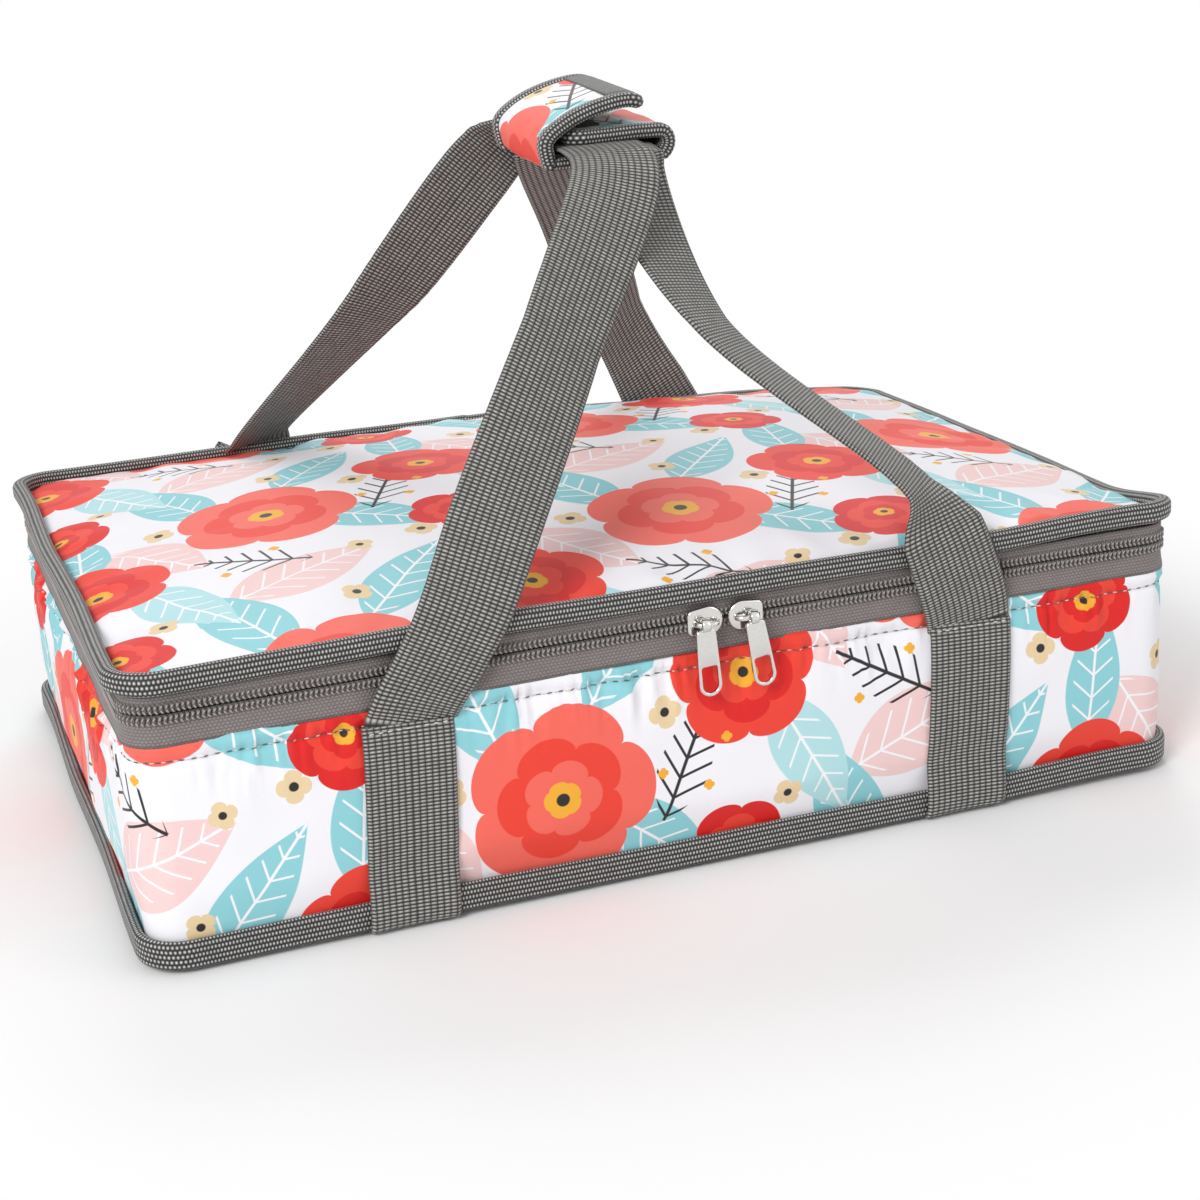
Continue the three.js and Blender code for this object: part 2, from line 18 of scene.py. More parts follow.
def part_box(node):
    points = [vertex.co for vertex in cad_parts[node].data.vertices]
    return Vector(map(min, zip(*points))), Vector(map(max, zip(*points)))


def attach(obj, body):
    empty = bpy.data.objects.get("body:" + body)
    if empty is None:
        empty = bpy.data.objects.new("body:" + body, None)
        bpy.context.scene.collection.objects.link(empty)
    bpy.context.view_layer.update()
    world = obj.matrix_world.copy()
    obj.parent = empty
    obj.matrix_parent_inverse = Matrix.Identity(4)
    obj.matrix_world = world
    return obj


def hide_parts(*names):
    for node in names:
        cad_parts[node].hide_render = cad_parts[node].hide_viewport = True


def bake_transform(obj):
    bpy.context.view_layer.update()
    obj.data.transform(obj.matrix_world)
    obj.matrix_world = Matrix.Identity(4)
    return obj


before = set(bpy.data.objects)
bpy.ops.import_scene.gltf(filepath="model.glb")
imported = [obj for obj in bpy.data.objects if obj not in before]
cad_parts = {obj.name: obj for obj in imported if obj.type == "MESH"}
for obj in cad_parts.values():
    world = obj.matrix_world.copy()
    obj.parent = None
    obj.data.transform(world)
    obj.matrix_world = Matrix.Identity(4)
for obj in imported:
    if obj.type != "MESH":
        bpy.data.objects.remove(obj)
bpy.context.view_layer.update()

LOG = logging.getLogger("carrier")
MM = 0.001
CLOTH_UV = "cloth"
MERGE = 1e-6
SIDEWAYS = Vector((1, 0, 0))
UPWARDS = Vector((0, 0, 1))
# The index of refraction of the plastics.
PLASTIC_IOR = 1.5
# Where the two handles are sewn, along X in millimetres.
LEFT_ANCHOR, RIGHT_ANCHOR = -107.0, 116.0

Mesh = bmesh.types.BMesh
Piece = bpy.types.Object
Tree = bpy.types.NodeTree
Node = bpy.types.Node
Socket = bpy.types.NodeSocket
Chart = Callable[[int, int], tuple[float, float]]


class Body(Enum):
    """The CAD bodies that pieces ride on."""

    CARRIER = "carrier"
    LID = "lid"
    LEFT_HANDLE = "left_handle"
    RIGHT_HANDLE = "right_handle"
    OUTER_FLAP = "outer_flap"
    INNER_FLAP = "inner_flap"
    LEFT_SLIDER = "left_slider"
    RIGHT_SLIDER = "right_slider"
    LEFT_PULL = "left_pull"
    RIGHT_PULL = "right_pull"


class Slot(Enum):
    """The material slots, one given with each piece."""

    PRINT = "print"
    WEBBING = "webbing"
    TAPE = "zipper_tape"
    COIL = "zipper_coil"
    FOAM = "foam"
    FOIL = "foil_liner"
    NICKEL = "nickel"


class Motif(Enum):
    """The drawn shapes of the printed cloth."""

    ROSETTE = "rosette"
    LEAF = "leaf"
    SPRIG = "sprig"
    BLOSSOM = "blossom"


class Seed(IntEnum):
    """Where each wandering number starts, so that no two kinds of cloth wander alike."""

    SHORT_GATHERS = 1
    LONG_GATHERS = 2
    WALL = 3
    BASE = 4
    TRAY = 5
    BINDING_SWAY = 6
    BINDING_LIFT = 7
    TAPE = 8
    HINGE = 9
    LID_TUCKS = 10
    LID_WAVES = 11
    LINING = 12
    FLAP = 13
    FINE_WALL = 14


# Nodes


def linear(colour: str) -> tuple[float, float, float, float]:
    """Turn an sRGB colour into linear RGBA.

    Args:
        colour: The colour as #RRGGBB.

    Returns:
        Linear red, green, blue and an alpha of one.
    """
    shares = [int(colour[place : place + 2], 16) / 255 for place in (1, 3, 5)]
    red, green, blue = (
        share / 12.92 if share <= 0.04045 else ((share + 0.055) / 1.055) ** 2.4 for share in shares
    )
    return red, green, blue, 1.0


def connect(tree: Tree, node: Node, sockets: dict[str | int, object]) -> None:
    """Set or link a node's inputs.

    Args:
        tree: The tree that holds the node.
        node: The node.
        sockets: Inputs by name or place, each a value or an output to link.
    """
    for key, value in sockets.items():
        if isinstance(value, Socket):
            tree.links.new(value, node.inputs[key])
        else:
            node.inputs[key].default_value = value


def add_node(tree: Tree, kind: str, sockets: dict[str | int, object], **settings: object) -> Node:
    """Add one node.

    Args:
        tree: The node tree that takes the node.
        kind: The shader node's type.
        sockets: Its inputs, as for connect.
        **settings: Attributes to set on the node.

    Returns:
        The new node.
    """
    node = tree.nodes.new(f"ShaderNode{kind}")
    for name, value in settings.items():
        setattr(node, name, value)
    connect(tree, node, sockets)
    return node


def calc(tree: Tree, operation: str, *values: Socket | float, clamp: bool = False) -> Socket:
    """Add a sum and give its result, held between 0 and 1 if asked."""
    node = add_node(tree, "Math", dict(enumerate(values)), operation=operation, use_clamp=clamp)
    return node.outputs[0]


def split(tree: Tree, vector: Socket) -> tuple[Socket, Socket]:
    """Give the first two parts of a vector."""
    parts = add_node(tree, "SeparateXYZ", {0: vector}).outputs
    return parts[0], parts[1]


def mix(tree: Tree, share: Socket, under: object, over: object) -> Socket:
    """Mix two colours, each a value or an output, and give the result."""
    return add_node(tree, "Mix", {0: share, 6: under, 7: over}, data_type="RGBA").outputs[2]


def raised(tree: Tree, height: Socket, strength: float, depth: float) -> Socket:
    """Raise a surface by a height and give its normal."""
    sockets = {"Strength": strength, "Distance": depth, "Height": height}
    return add_node(tree, "Bump", sockets).outputs["Normal"]


def seen(tree: Tree) -> Socket:
    """Give 1 where the lens sees a surface, by itself or in metal, and 0 where it only lights others."""
    path = add_node(tree, "LightPath", {}).outputs
    return calc(tree, "MAXIMUM", path["Is Camera Ray"], path["Is Glossy Ray"])


def start_group(name: str, takes: dict[str, str], gives: Sequence[str]) -> tuple[Tree, Node, Node]:
    """Start a node group that draws one shape.

    Args:
        name: The group's name.
        takes: Its inputs, as name and socket type.
        gives: Its outputs, all plain numbers unless named Vector.

    Returns:
        The group, its input node and its output node.
    """
    group = bpy.data.node_groups.new(name, "ShaderNodeTree")
    for key, kind in takes.items():
        group.interface.new_socket(key, in_out="INPUT", socket_type=kind)
    for key in gives:
        kind = "NodeSocketVector" if key == "Vector" else "NodeSocketFloat"
        group.interface.new_socket(key, in_out="OUTPUT", socket_type=kind)
    return group, group.nodes.new("NodeGroupInput"), group.nodes.new("NodeGroupOutput")


# Finishes


@dataclass(frozen=True)
class Finish:
    """What a piece is made of, as a material that is built on first use."""

    name: str

    def material(self) -> bpy.types.Material:
        """Build the material, or give the one already built.

        Returns:
            The material.
        """
        known = bpy.data.materials.get(self.name)
        if known:
            return known
        material = bpy.data.materials.new(self.name)
        material.use_nodes = True
        self.paint(material.node_tree, material.node_tree.nodes["Principled BSDF"])
        return material

    def paint(self, tree: Tree, shader: Node) -> None:
        """Add the nodes of the finish to a new material.

        Args:
            tree: The material's node tree.
            shader: Its shader node.
        """
        raise NotImplementedError


@dataclass(frozen=True)
class Mark:
    """One printed shape: what it is, where it sits in the repeat, and its size and colours."""

    motif: Motif
    across: float
    up: float
    turn: float
    length: float
    width: float
    colours: tuple[str, ...]


CORAL, RED, DEEP_RED = "#F36A5C", "#EC4233", "#DC2220"
AQUA, PALE_AQUA, PINK, BEIGE = "#8FCFD7", "#B4DFE4", "#F1CFCE", "#E8CFA5"
CHARCOAL, MUSTARD, WHITE, SHADED_WHITE = "#2B2929", "#F2B035", "#F6F5F9", "#EDECF2"
CORAL_FLOWER = (CORAL, RED, CORAL, MUSTARD, CHARCOAL)
RED_FLOWER = (RED, DEEP_RED, RED, MUSTARD, CHARCOAL)
DEEP_FLOWER = (DEEP_RED, RED, DEEP_RED, MUSTARD, CHARCOAL)
AQUA_LEAF, PINK_LEAF, PALE_LEAF = (AQUA, WHITE), (PINK, WHITE), (PALE_AQUA, WHITE)
SHAPE_INPUTS = {"Vector": "NodeSocketVector", "Length": "NodeSocketFloat", "Width": "NodeSocketFloat"}


@dataclass(frozen=True)
class PrintedSatin(Finish):
    """Polyester satin, roller printed: a smooth bright ground with crisp flat colours and a soft sheen."""

    name: str = "printed_polyester_satin"
    repeat_across: float = 148 * MM
    repeat_up: float = 152 * MM
    edge: float = 0.35 * MM
    thread: float = 0.9 * MM

    def marks(self) -> list[Mark]:
        """List the repeat's shapes in the order they are printed, in millimetres and degrees.

        Returns:
            The shapes.
        """
        leaf, sprig, rose = Motif.LEAF, Motif.SPRIG, Motif.ROSETTE
        shapes = [
            Mark(leaf, 36, 118, 24, 34, 17, PINK_LEAF),
            Mark(leaf, 138, 96, -58, 30, 16, PINK_LEAF),
            Mark(leaf, 6, 88, 112, 36, 14, AQUA_LEAF),
            Mark(leaf, 70, 98, 52, 35, 13, AQUA_LEAF),
            Mark(leaf, 76, 14, -40, 34, 14, AQUA_LEAF),
            Mark(leaf, 112, 124, 84, 32, 12, AQUA_LEAF),
            Mark(leaf, 138, 38, -62, 33, 13, PALE_LEAF),
            Mark(sprig, 88, 46, 66, 26, 11, (CHARCOAL,)),
            Mark(sprig, 22, 142, 150, 24, 11, (CHARCOAL,)),
            Mark(rose, 38, 40, 0, 37, 37, CORAL_FLOWER),
            Mark(rose, 112, 76, 20, 29, 29, RED_FLOWER),
            Mark(rose, 108, 4, 50, 21, 21, DEEP_FLOWER),
        ]
        buds = [
            (80, 66, 10, 6.5),
            (50, 92, 40, 6),
            (88, 140, 0, 6.5),
            (128, 24, 30, 6),
            (62, 134, 20, 5.5),
            (144, 126, 55, 6.5),
        ]
        for across, up, turn, size in buds:
            shapes.append(Mark(Motif.BLOSSOM, across, up, turn, size, size, (BEIGE, CHARCOAL)))
        berry = 2.2
        for across, up in ((96, 34), (78, 42), (104, 52), (10, 134), (32, 150)):
            shapes.append(Mark(Motif.BLOSSOM, across, up, 0, berry, berry, (MUSTARD, MUSTARD)))
        return shapes

    def crisp(self, tree: Tree, inside: Socket) -> Socket:
        """Give 1 where a distance inside a shape is positive and 0 outside, across a printed edge."""
        return calc(tree, "MULTIPLY_ADD", inside, 1 / self.edge, 0.5, clamp=True)

    def repeat_group(self) -> Tree:
        """Make the half-drop repeat: each column of the cloth sits half a repeat lower than the last.

        Returns:
            The group.
        """
        takes = {"Vector": "NodeSocketVector", "Centre": "NodeSocketVector", "Turn": "NodeSocketFloat"}
        group, start, end = start_group("half_drop_repeat", takes, ["Vector"])
        sockets = {0: start.outputs["Vector"], 1: start.outputs["Centre"]}
        away = add_node(group, "VectorMath", sockets, operation="SUBTRACT")
        wide, high = split(group, away.outputs[0])
        column = calc(group, "ROUND", calc(group, "DIVIDE", wide, self.repeat_across))
        across = calc(group, "MULTIPLY_ADD", column, -self.repeat_across, wide)
        odd = calc(group, "FLOORED_MODULO", column, 2.0)
        lowered = calc(group, "MULTIPLY_ADD", odd, self.repeat_up / 2, high)
        up = calc(group, "WRAP", lowered, self.repeat_up / 2, -self.repeat_up / 2)
        flat = add_node(group, "CombineXYZ", {0: across, 1: up})
        sockets = {"Vector": flat.outputs[0], "Angle": start.outputs["Turn"]}
        turned = add_node(group, "VectorRotate", sockets, rotation_type="Z_AXIS")
        connect(group, end, {"Vector": turned.outputs[0]})
        return group

    def flower_group(self, name: str, petals: float, rings: dict[str, tuple[float, float, bool]]) -> Tree:
        """Make a round flower as rings of scalloped petals.

        Args:
            name: The group's name.
            petals: Half the number of petals.
            rings: For each output, its radius, how deep its scallops are, and whether they are staggered.

        Returns:
            The group.
        """
        group, start, end = start_group(name, SHAPE_INPUTS, list(rings))
        across, up = split(group, start.outputs["Vector"])
        far = add_node(group, "VectorMath", {0: start.outputs["Vector"]}, operation="LENGTH")
        lobes = calc(group, "MULTIPLY", calc(group, "ARCTAN2", up, across), petals)
        for key, (radius, depth, staggered) in rings.items():
            scallop = calc(group, "SINE" if staggered else "COSINE", lobes)
            full = calc(group, "POWER", calc(group, "ABSOLUTE", scallop), 0.5)
            rim = calc(group, "MULTIPLY_ADD", full, depth, radius - depth)
            reach = calc(group, "MULTIPLY", rim, start.outputs["Length"])
            inside = calc(group, "SUBTRACT", reach, far.outputs["Value"])
            connect(group, end, {key: self.crisp(group, inside)})
        return group

    def leaf_group(self, name: str, blade: bool) -> Tree:
        """Make an almond leaf with a midrib and slanting veins, or the veins alone as a sprig.

        Args:
            name: The group's name.
            blade: Whether the blade shows.

        Returns:
            The group.
        """
        thick, spacing, vein_share = (0.55, 9.5, 0.74) if blade else (0.7, 8, 0.95)
        group, start, end = start_group(name, SHAPE_INPUTS, ["Blade", "Vein"] if blade else ["Vein"])
        along, up = split(group, start.outputs["Vector"])
        side = calc(group, "ABSOLUTE", up)
        share = calc(group, "DIVIDE", along, start.outputs["Length"])
        taper = calc(group, "SUBTRACT", 1.0, calc(group, "MULTIPLY", share, share))
        lean = calc(group, "MULTIPLY_ADD", share, -0.3, 1.0)
        almond = calc(group, "MULTIPLY", taper, lean)
        half = calc(group, "MULTIPLY", almond, start.outputs["Width"])
        whole = self.crisp(group, calc(group, "SUBTRACT", half, side))
        rib = self.crisp(group, calc(group, "SUBTRACT", thick * MM, side))
        slant = calc(group, "MULTIPLY_ADD", side, -0.85, along)
        fold = calc(group, "PINGPONG", slant, spacing * MM / 2)
        vein = self.crisp(group, calc(group, "SUBTRACT", thick * MM, fold))
        reach = calc(group, "MULTIPLY", half, vein_share)
        kept = self.crisp(group, calc(group, "SUBTRACT", reach, side))
        both = calc(group, "MAXIMUM", calc(group, "MULTIPLY", vein, kept), rib)
        shown = whole if blade else calc(group, "MULTIPLY", taper, 40.0, clamp=True)
        connect(group, end, {"Vein": calc(group, "MULTIPLY", both, shown)})
        if blade:
            connect(group, end, {"Blade": whole})
        return group

    def paint(self, tree: Tree, shader: Node) -> None:
        """Print each shape over the last on a faintly shaded ground.

        Args:
            tree: The material's node tree.
            shader: Its shader node.
        """
        rosette = {
            "Petal": (1.0, 0.2, False),
            "Inner": (0.68, 0.16, True),
            "Heart": (0.42, 0.1, False),
            "Eye": (0.2, 0.03, True),
            "Pip": (0.07, 0.0, False),
        }
        blossom = {"Petal": (1.0, 0.35, False), "Eye": (0.28, 0, False)}
        groups = {
            Motif.ROSETTE: self.flower_group("rosette", 2.5, rosette),
            Motif.LEAF: self.leaf_group("almond_leaf", True),
            Motif.SPRIG: self.leaf_group("sprig", False),
            Motif.BLOSSOM: self.flower_group("blossom", 2.0, blossom),
        }
        repeat = self.repeat_group()
        cloth = add_node(tree, "UVMap", {}, uv_map=CLOTH_UV).outputs["UV"]
        tint = add_node(tree, "TexNoise", {"Vector": cloth, "Scale": 9.0, "Detail": 1.0})
        colour = mix(tree, tint.outputs["Fac"], linear(WHITE), linear(SHADED_WHITE))
        for mark in self.marks():
            centre = (mark.across * MM, mark.up * MM, 0.0)
            sockets = {"Vector": cloth, "Centre": centre, "Turn": -math.radians(mark.turn)}
            place = add_node(tree, "Group", sockets, node_tree=repeat)
            sockets = {"Vector": place.outputs[0], "Length": mark.length * MM, "Width": mark.width * MM}
            shape = add_node(tree, "Group", sockets, node_tree=groups[mark.motif])
            for output, ink in zip(shape.outputs, mark.colours):
                colour = mix(tree, output, colour, linear(ink))
        # Satin threads are far finer than a pixel, so their lines are drawn about three times too coarse.
        sockets = {"Vector": cloth, "Scale": 1 / self.thread / math.tau, "Distortion": 0.3}
        lines = add_node(tree, "TexWave", sockets, bands_direction="DIAGONAL")
        sockets = {
            "Base Color": colour,
            "Roughness": 0.52,
            "Specular IOR Level": 0.3,
            "Sheen Weight": 0.05,
            "Sheen Roughness": 0.4,
            "Normal": raised(tree, lines.outputs["Fac"], 0.12, 0.1 * MM),
        }
        connect(tree, shader, sockets)


@dataclass(frozen=True)
class Weave(Finish):
    """A woven narrow fabric: rows of raised threads, painted light on top and painted shade in the gaps."""

    dark: str
    light: str
    across: float
    along: float
    stagger: float
    roughness: float
    relief: float
    fill: tuple[float, float] = (0.6, 0.6)

    def paint(self, tree: Tree, shader: Node) -> None:
        """Weave the threads on the piece's own cloth map, a little unevenly worn.

        Args:
            tree: The material's node tree.
            shader: Its shader node.
        """
        cloth = add_node(tree, "UVMap", {}, uv_map=CLOTH_UV).outputs["UV"]
        across, along = split(tree, cloth)
        end = calc(tree, "DIVIDE", across, self.across * MM)
        pick = calc(tree, "DIVIDE", along, self.along * MM)
        shifted = calc(tree, "MULTIPLY_ADD", calc(tree, "FLOOR", end), self.stagger, pick)
        swells = []
        for thread, fill in zip((end, shifted), self.fill):
            wave = calc(tree, "SINE", calc(tree, "MULTIPLY", thread, math.pi))
            swells.append(calc(tree, "POWER", calc(tree, "ABSOLUTE", wave), fill))
        height = calc(tree, "MULTIPLY", *swells)
        noisy = add_node(tree, "TexNoise", {"Vector": cloth, "Scale": 160.0, "Detail": 2.0})
        sockets = {"From Min": 0.2, "From Max": 0.8, "To Min": 0.75, "To Max": 1.1}
        wear = add_node(tree, "MapRange", {"Value": noisy.outputs["Fac"], **sockets})
        # The threads' height also paints the colour: a painted highlight on each crown and painted shade in
        # each gap.
        painted_thread_light = calc(tree, "MULTIPLY", height, wear.outputs["Result"], clamp=True)
        sockets = {
            "Base Color": mix(tree, painted_thread_light, linear(self.dark), linear(self.light)),
            "Roughness": self.roughness,
            "IOR": PLASTIC_IOR,
            "Sheen Weight": 0.15,
            "Sheen Roughness": 0.5,
            "Normal": raised(tree, height, 0.8, self.relief * MM),
        }
        connect(tree, shader, sockets)


@dataclass(frozen=True)
class Grained(Finish):
    """A plain material whose surface varies softly: metal, foil, foam, board, coil or thread."""

    base: str
    shade: str
    grain: float
    relief: float
    roughness: tuple[float, float]
    metallic: float = 0.0

    def paint(self, tree: Tree, shader: Node) -> None:
        """Vary the colour, the gloss and the surface together, on Object coordinates.

        Args:
            tree: The material's node tree.
            shader: Its shader node.
        """
        place = add_node(tree, "TexCoord", {}).outputs["Object"]
        sockets = {"Vector": place, "Scale": 1 / (self.grain * MM), "Detail": 3.0, "Roughness": 0.6}
        grain = add_node(tree, "TexNoise", sockets).outputs["Fac"]
        low, high = self.roughness
        rough = add_node(tree, "MapRange", {"Value": grain, "To Min": low, "To Max": high})
        sockets = {
            "Base Color": mix(tree, grain, linear(self.base), linear(self.shade)),
            "Roughness": rough.outputs["Result"],
            "Metallic": self.metallic,
            "IOR": PLASTIC_IOR,
            "Normal": raised(tree, grain, 0.5, self.relief * MM),
        }
        connect(tree, shader, sockets)


@dataclass(frozen=True)
class Paper(Finish):
    """Matt pale paper near the carrier, fading to white where only the lens sees it."""

    colour: str
    fade_start: float = 0.24
    fade_end: float = 0.42

    def paint(self, tree: Tree, shader: Node) -> None:
        """Mix the paper with plain white by the distance from the carrier's middle.

        Args:
            tree: The material's node tree.
            shader: Its shader node.
        """
        sockets = {"Base Color": linear(self.colour), "Roughness": 0.9, "Specular IOR Level": 0.1}
        connect(tree, shader, sockets)
        place = add_node(tree, "TexCoord", {}).outputs["Object"]
        far = add_node(tree, "VectorMath", {0: place}, operation="LENGTH").outputs["Value"]
        sockets = {"Value": far, "From Min": self.fade_start, "From Max": self.fade_end}
        fade = add_node(tree, "MapRange", sockets, interpolation_type="SMOOTHSTEP")
        share = calc(tree, "MULTIPLY", seen(tree), fade.outputs["Result"])
        white = add_node(tree, "Emission", {"Color": (1, 1, 1, 1), "Strength": 1.0})
        mixed = add_node(tree, "MixShader", {0: share, 1: shader.outputs[0], 2: white.outputs[0]})
        connect(tree, tree.nodes["Material Output"], {"Surface": mixed.outputs[0]})


PRINT = PrintedSatin()
# Polypropylene webbing, plain woven: short pale picks, black gaps, a straight grid; painted highlight and
# shade.
WEBBING = Weave("polypropylene_webbing", "#050505", "#C8C6C0", 2.5, 1.4, 0.0, 0.7, 0.5, (0.8, 2.2))
# Nylon grosgrain binding: fine cross ribs in staggered rows, a painted highlight on top and painted shade
# between.
BINDING = Weave("nylon_grosgrain_binding", "#040404", "#E8E5E2", 1.95, 1.3, 0.5, 0.65, 0.5, (2.5, 2.5))
# Nylon facing cloth: a close plain weave, smooth and mid grey, with faint painted light and shade on its
# threads.
FACING = Weave("nylon_facing_cloth", "#4C4B4A", "#7A7977", 0.6, 0.6, 0.5, 0.7, 0.15)
# Polyester zipper tape: fine twill, plain grey with a mauve cast, with painted light and shade on its
# threads.
TAPE = Weave("polyester_zipper_tape", "#655D5C", "#8E8684", 1.2, 1.5, 0.5, 0.75, 0.3)
# Nylon monofilament: the coil's teeth are smooth, grey and shiny.
COIL = Grained("nylon_zipper_coil", "#716B68", "#595452", 2.0, 0.05, (0.25, 0.38))
# Die-cast zinc with bright nickel plating: nearly a mirror, with faint polishing marks.
NICKEL = Grained("bright_nickel_plate", "#E0DFDC", "#D2D0CC", 1.5, 0.01, (0.1, 0.2), 1.0)
# Aluminised film liner: crinkled, silver and half glossy.
FOIL = Grained("aluminised_liner_film", "#D5D8DA", "#B9BDC0", 6.0, 0.8, (0.22, 0.42), 0.85)
# Polyethylene foam: matt, off-white, with small cells.
FOAM = Grained("polyethylene_foam", "#EFEDE8", "#E0DDD6", 1.2, 0.4, (0.8, 0.95))
# Polypropylene sheet: the base board is smooth and milky.
BOARD = Grained("polypropylene_board", "#DCDCD8", "#CFCFCA", 14.0, 0.05, (0.45, 0.6))
# Nylon hook and loop tape: a dense dark pile.
CLOSURE = Grained("nylon_hook_and_loop", "#454442", "#2A2928", 0.7, 0.6, (0.85, 0.98))
# Spun polyester thread: pale and slightly glossy.
THREAD = Grained("polyester_thread", "#E4DEDB", "#C6C0BD", 0.5, 0.1, (0.5, 0.65))
# Spun polyester chain thread: light grey, holding the coil to its tape.
CHAIN = Grained("polyester_chain_thread", "#B9B2AF", "#989190", 0.5, 0.1, (0.5, 0.65))
# Painted shade in the stitch holes: mid grey beads where the stitches dip through the cloth.
STITCH_HOLE_SHADE = Grained("painted_stitch_hole_shade", "#6A6564", "#54504F", 0.5, 0.1, (0.6, 0.75))


# Shapes


def ease(value: float, low: float, high: float) -> float:
    """Give a smooth step from 0 at low to 1 at high."""
    share = min(max((value - low) / (high - low), 0.0), 1.0)
    return share * share * (3 - 2 * share)


def bell(value: float, width: float) -> float:
    """Give a smooth hump: 1 at zero, falling away over a width."""
    return math.exp(-((value / width) ** 2))


def ripple(run: float, height: float, wavelength: float, seed: Seed) -> float:
    """Give a smooth wandering number from about -1 to 1, the same on each run."""
    return 2 * noise.noise(Vector((run / wavelength, height / wavelength, seed)))


def at_height(flat: Vector, height: float) -> Vector:
    """Lift a flat point to a height."""
    return Vector((flat.x, flat.y, height))


def settle(point: Vector) -> Vector:
    """Let the unfilled box sink at its back, most at the back right corner, more the higher the point is.

    Args:
        point: A point of the box before it sinks.

    Returns:
        The point after it has sunk.
    """
    half_x, half_y, full_height = 206 * MM, 141 * MM, 113 * MM
    across = min(max((point.x + half_x) / (2 * half_x), 0.0), 1.0)
    along = min(max((point.y + half_y) / (2 * half_y), 0.0), 1.0)
    # How far it sinks, in millimetres: at the back, and on the right at three places from front to back.
    back, right_front, right_behind, right_back = 7.5, 2, 5, 9
    still, corner = 0.35, 0.2
    right = max((across - still) / (1 - still), 0.0) ** 1.5
    by_right = right_front + right_behind * ease(along, 0.0, corner) + right_back * along
    sink = back * along + right * by_right
    return at_height(point, point.z - sink * MM * min(point.z / full_height, 1.1))


@dataclass(frozen=True)
class Plan:
    """A rounded rectangle, followed counter-clockwise from the middle of its far side."""

    half_x: float
    half_y: float
    radius: float

    def length(self) -> float:
        """Give the outline's length."""
        straight = 4 * (self.half_x + self.half_y - 2 * self.radius)
        return straight + math.tau * self.radius

    def at(self, distance: float) -> tuple[Vector, Vector]:
        """Give a point of the outline and its outward direction.

        Args:
            distance: How far along the outline the point is.

        Returns:
            The point and the unit normal, both flat.
        """
        rest = distance % self.length()
        flat_x, flat_y = self.half_x - self.radius, self.half_y - self.radius
        arc = math.pi / 2 * self.radius
        # Each side is its length, where it starts, its way, and the centre and first angle of its corner.
        sides = [
            (flat_x, (0, self.half_y), (-1, 0), (-flat_x, flat_y), 90),
            (2 * flat_y, (-self.half_x, flat_y), (0, -1), (-flat_x, -flat_y), 180),
            (2 * flat_x, (-flat_x, -self.half_y), (1, 0), (flat_x, -flat_y), 270),
            (2 * flat_y, (self.half_x, -flat_y), (0, 1), (flat_x, flat_y), 0),
            (flat_x, (flat_x, self.half_y), (-1, 0), (0, 0), 90),
        ]
        for run, start, way, centre, degrees in sides:
            if rest <= run:
                return Vector(start) + Vector(way) * rest, Vector((way[1], -way[0]))
            rest -= run
            if rest <= arc:
                angle = math.radians(degrees) + rest / max(self.radius, MERGE)
                normal = Vector((math.cos(angle), math.sin(angle)))
                return Vector(centre) + normal * self.radius, normal
            rest -= arc
        return Vector((0, self.half_y)), Vector((0, 1))

    def spread(self, share_x: float, share_y: float) -> Vector:
        """Give a point inside the outline for a point of the square from -1 to 1.

        Args:
            share_x: Place across the square.
            share_y: Place up the square.

        Returns:
            The flat point, on a smaller copy of the outline.
        """
        share = max(abs(share_x), abs(share_y))
        if share < MERGE:
            return Vector((0, 0))
        level = abs(share_y) >= abs(share_x)
        half_run, half_rise = (self.half_x, self.half_y) if level else (self.half_y, self.half_x)
        flat = half_run - self.radius
        ratio = (share_x if level else share_y) / share
        run = abs(ratio) * (flat + math.pi / 4 * self.radius)
        angle = max(0.0, run - flat) / max(self.radius, MERGE)
        along = math.copysign(min(run, flat) + self.radius * math.sin(angle), ratio)
        rise = half_rise - self.radius * (1 - math.cos(angle))
        rise = math.copysign(rise, share_y if level else share_x)
        return Vector((along, rise)) * share if level else Vector((rise, along)) * share

    def section(self, count: int) -> list[tuple[Vector, float]]:
        """Give evenly spaced points of the outline, with how far along each is."""
        step = self.length() / count
        return [(self.at(place * step)[0], place * step) for place in range(count + 1)]


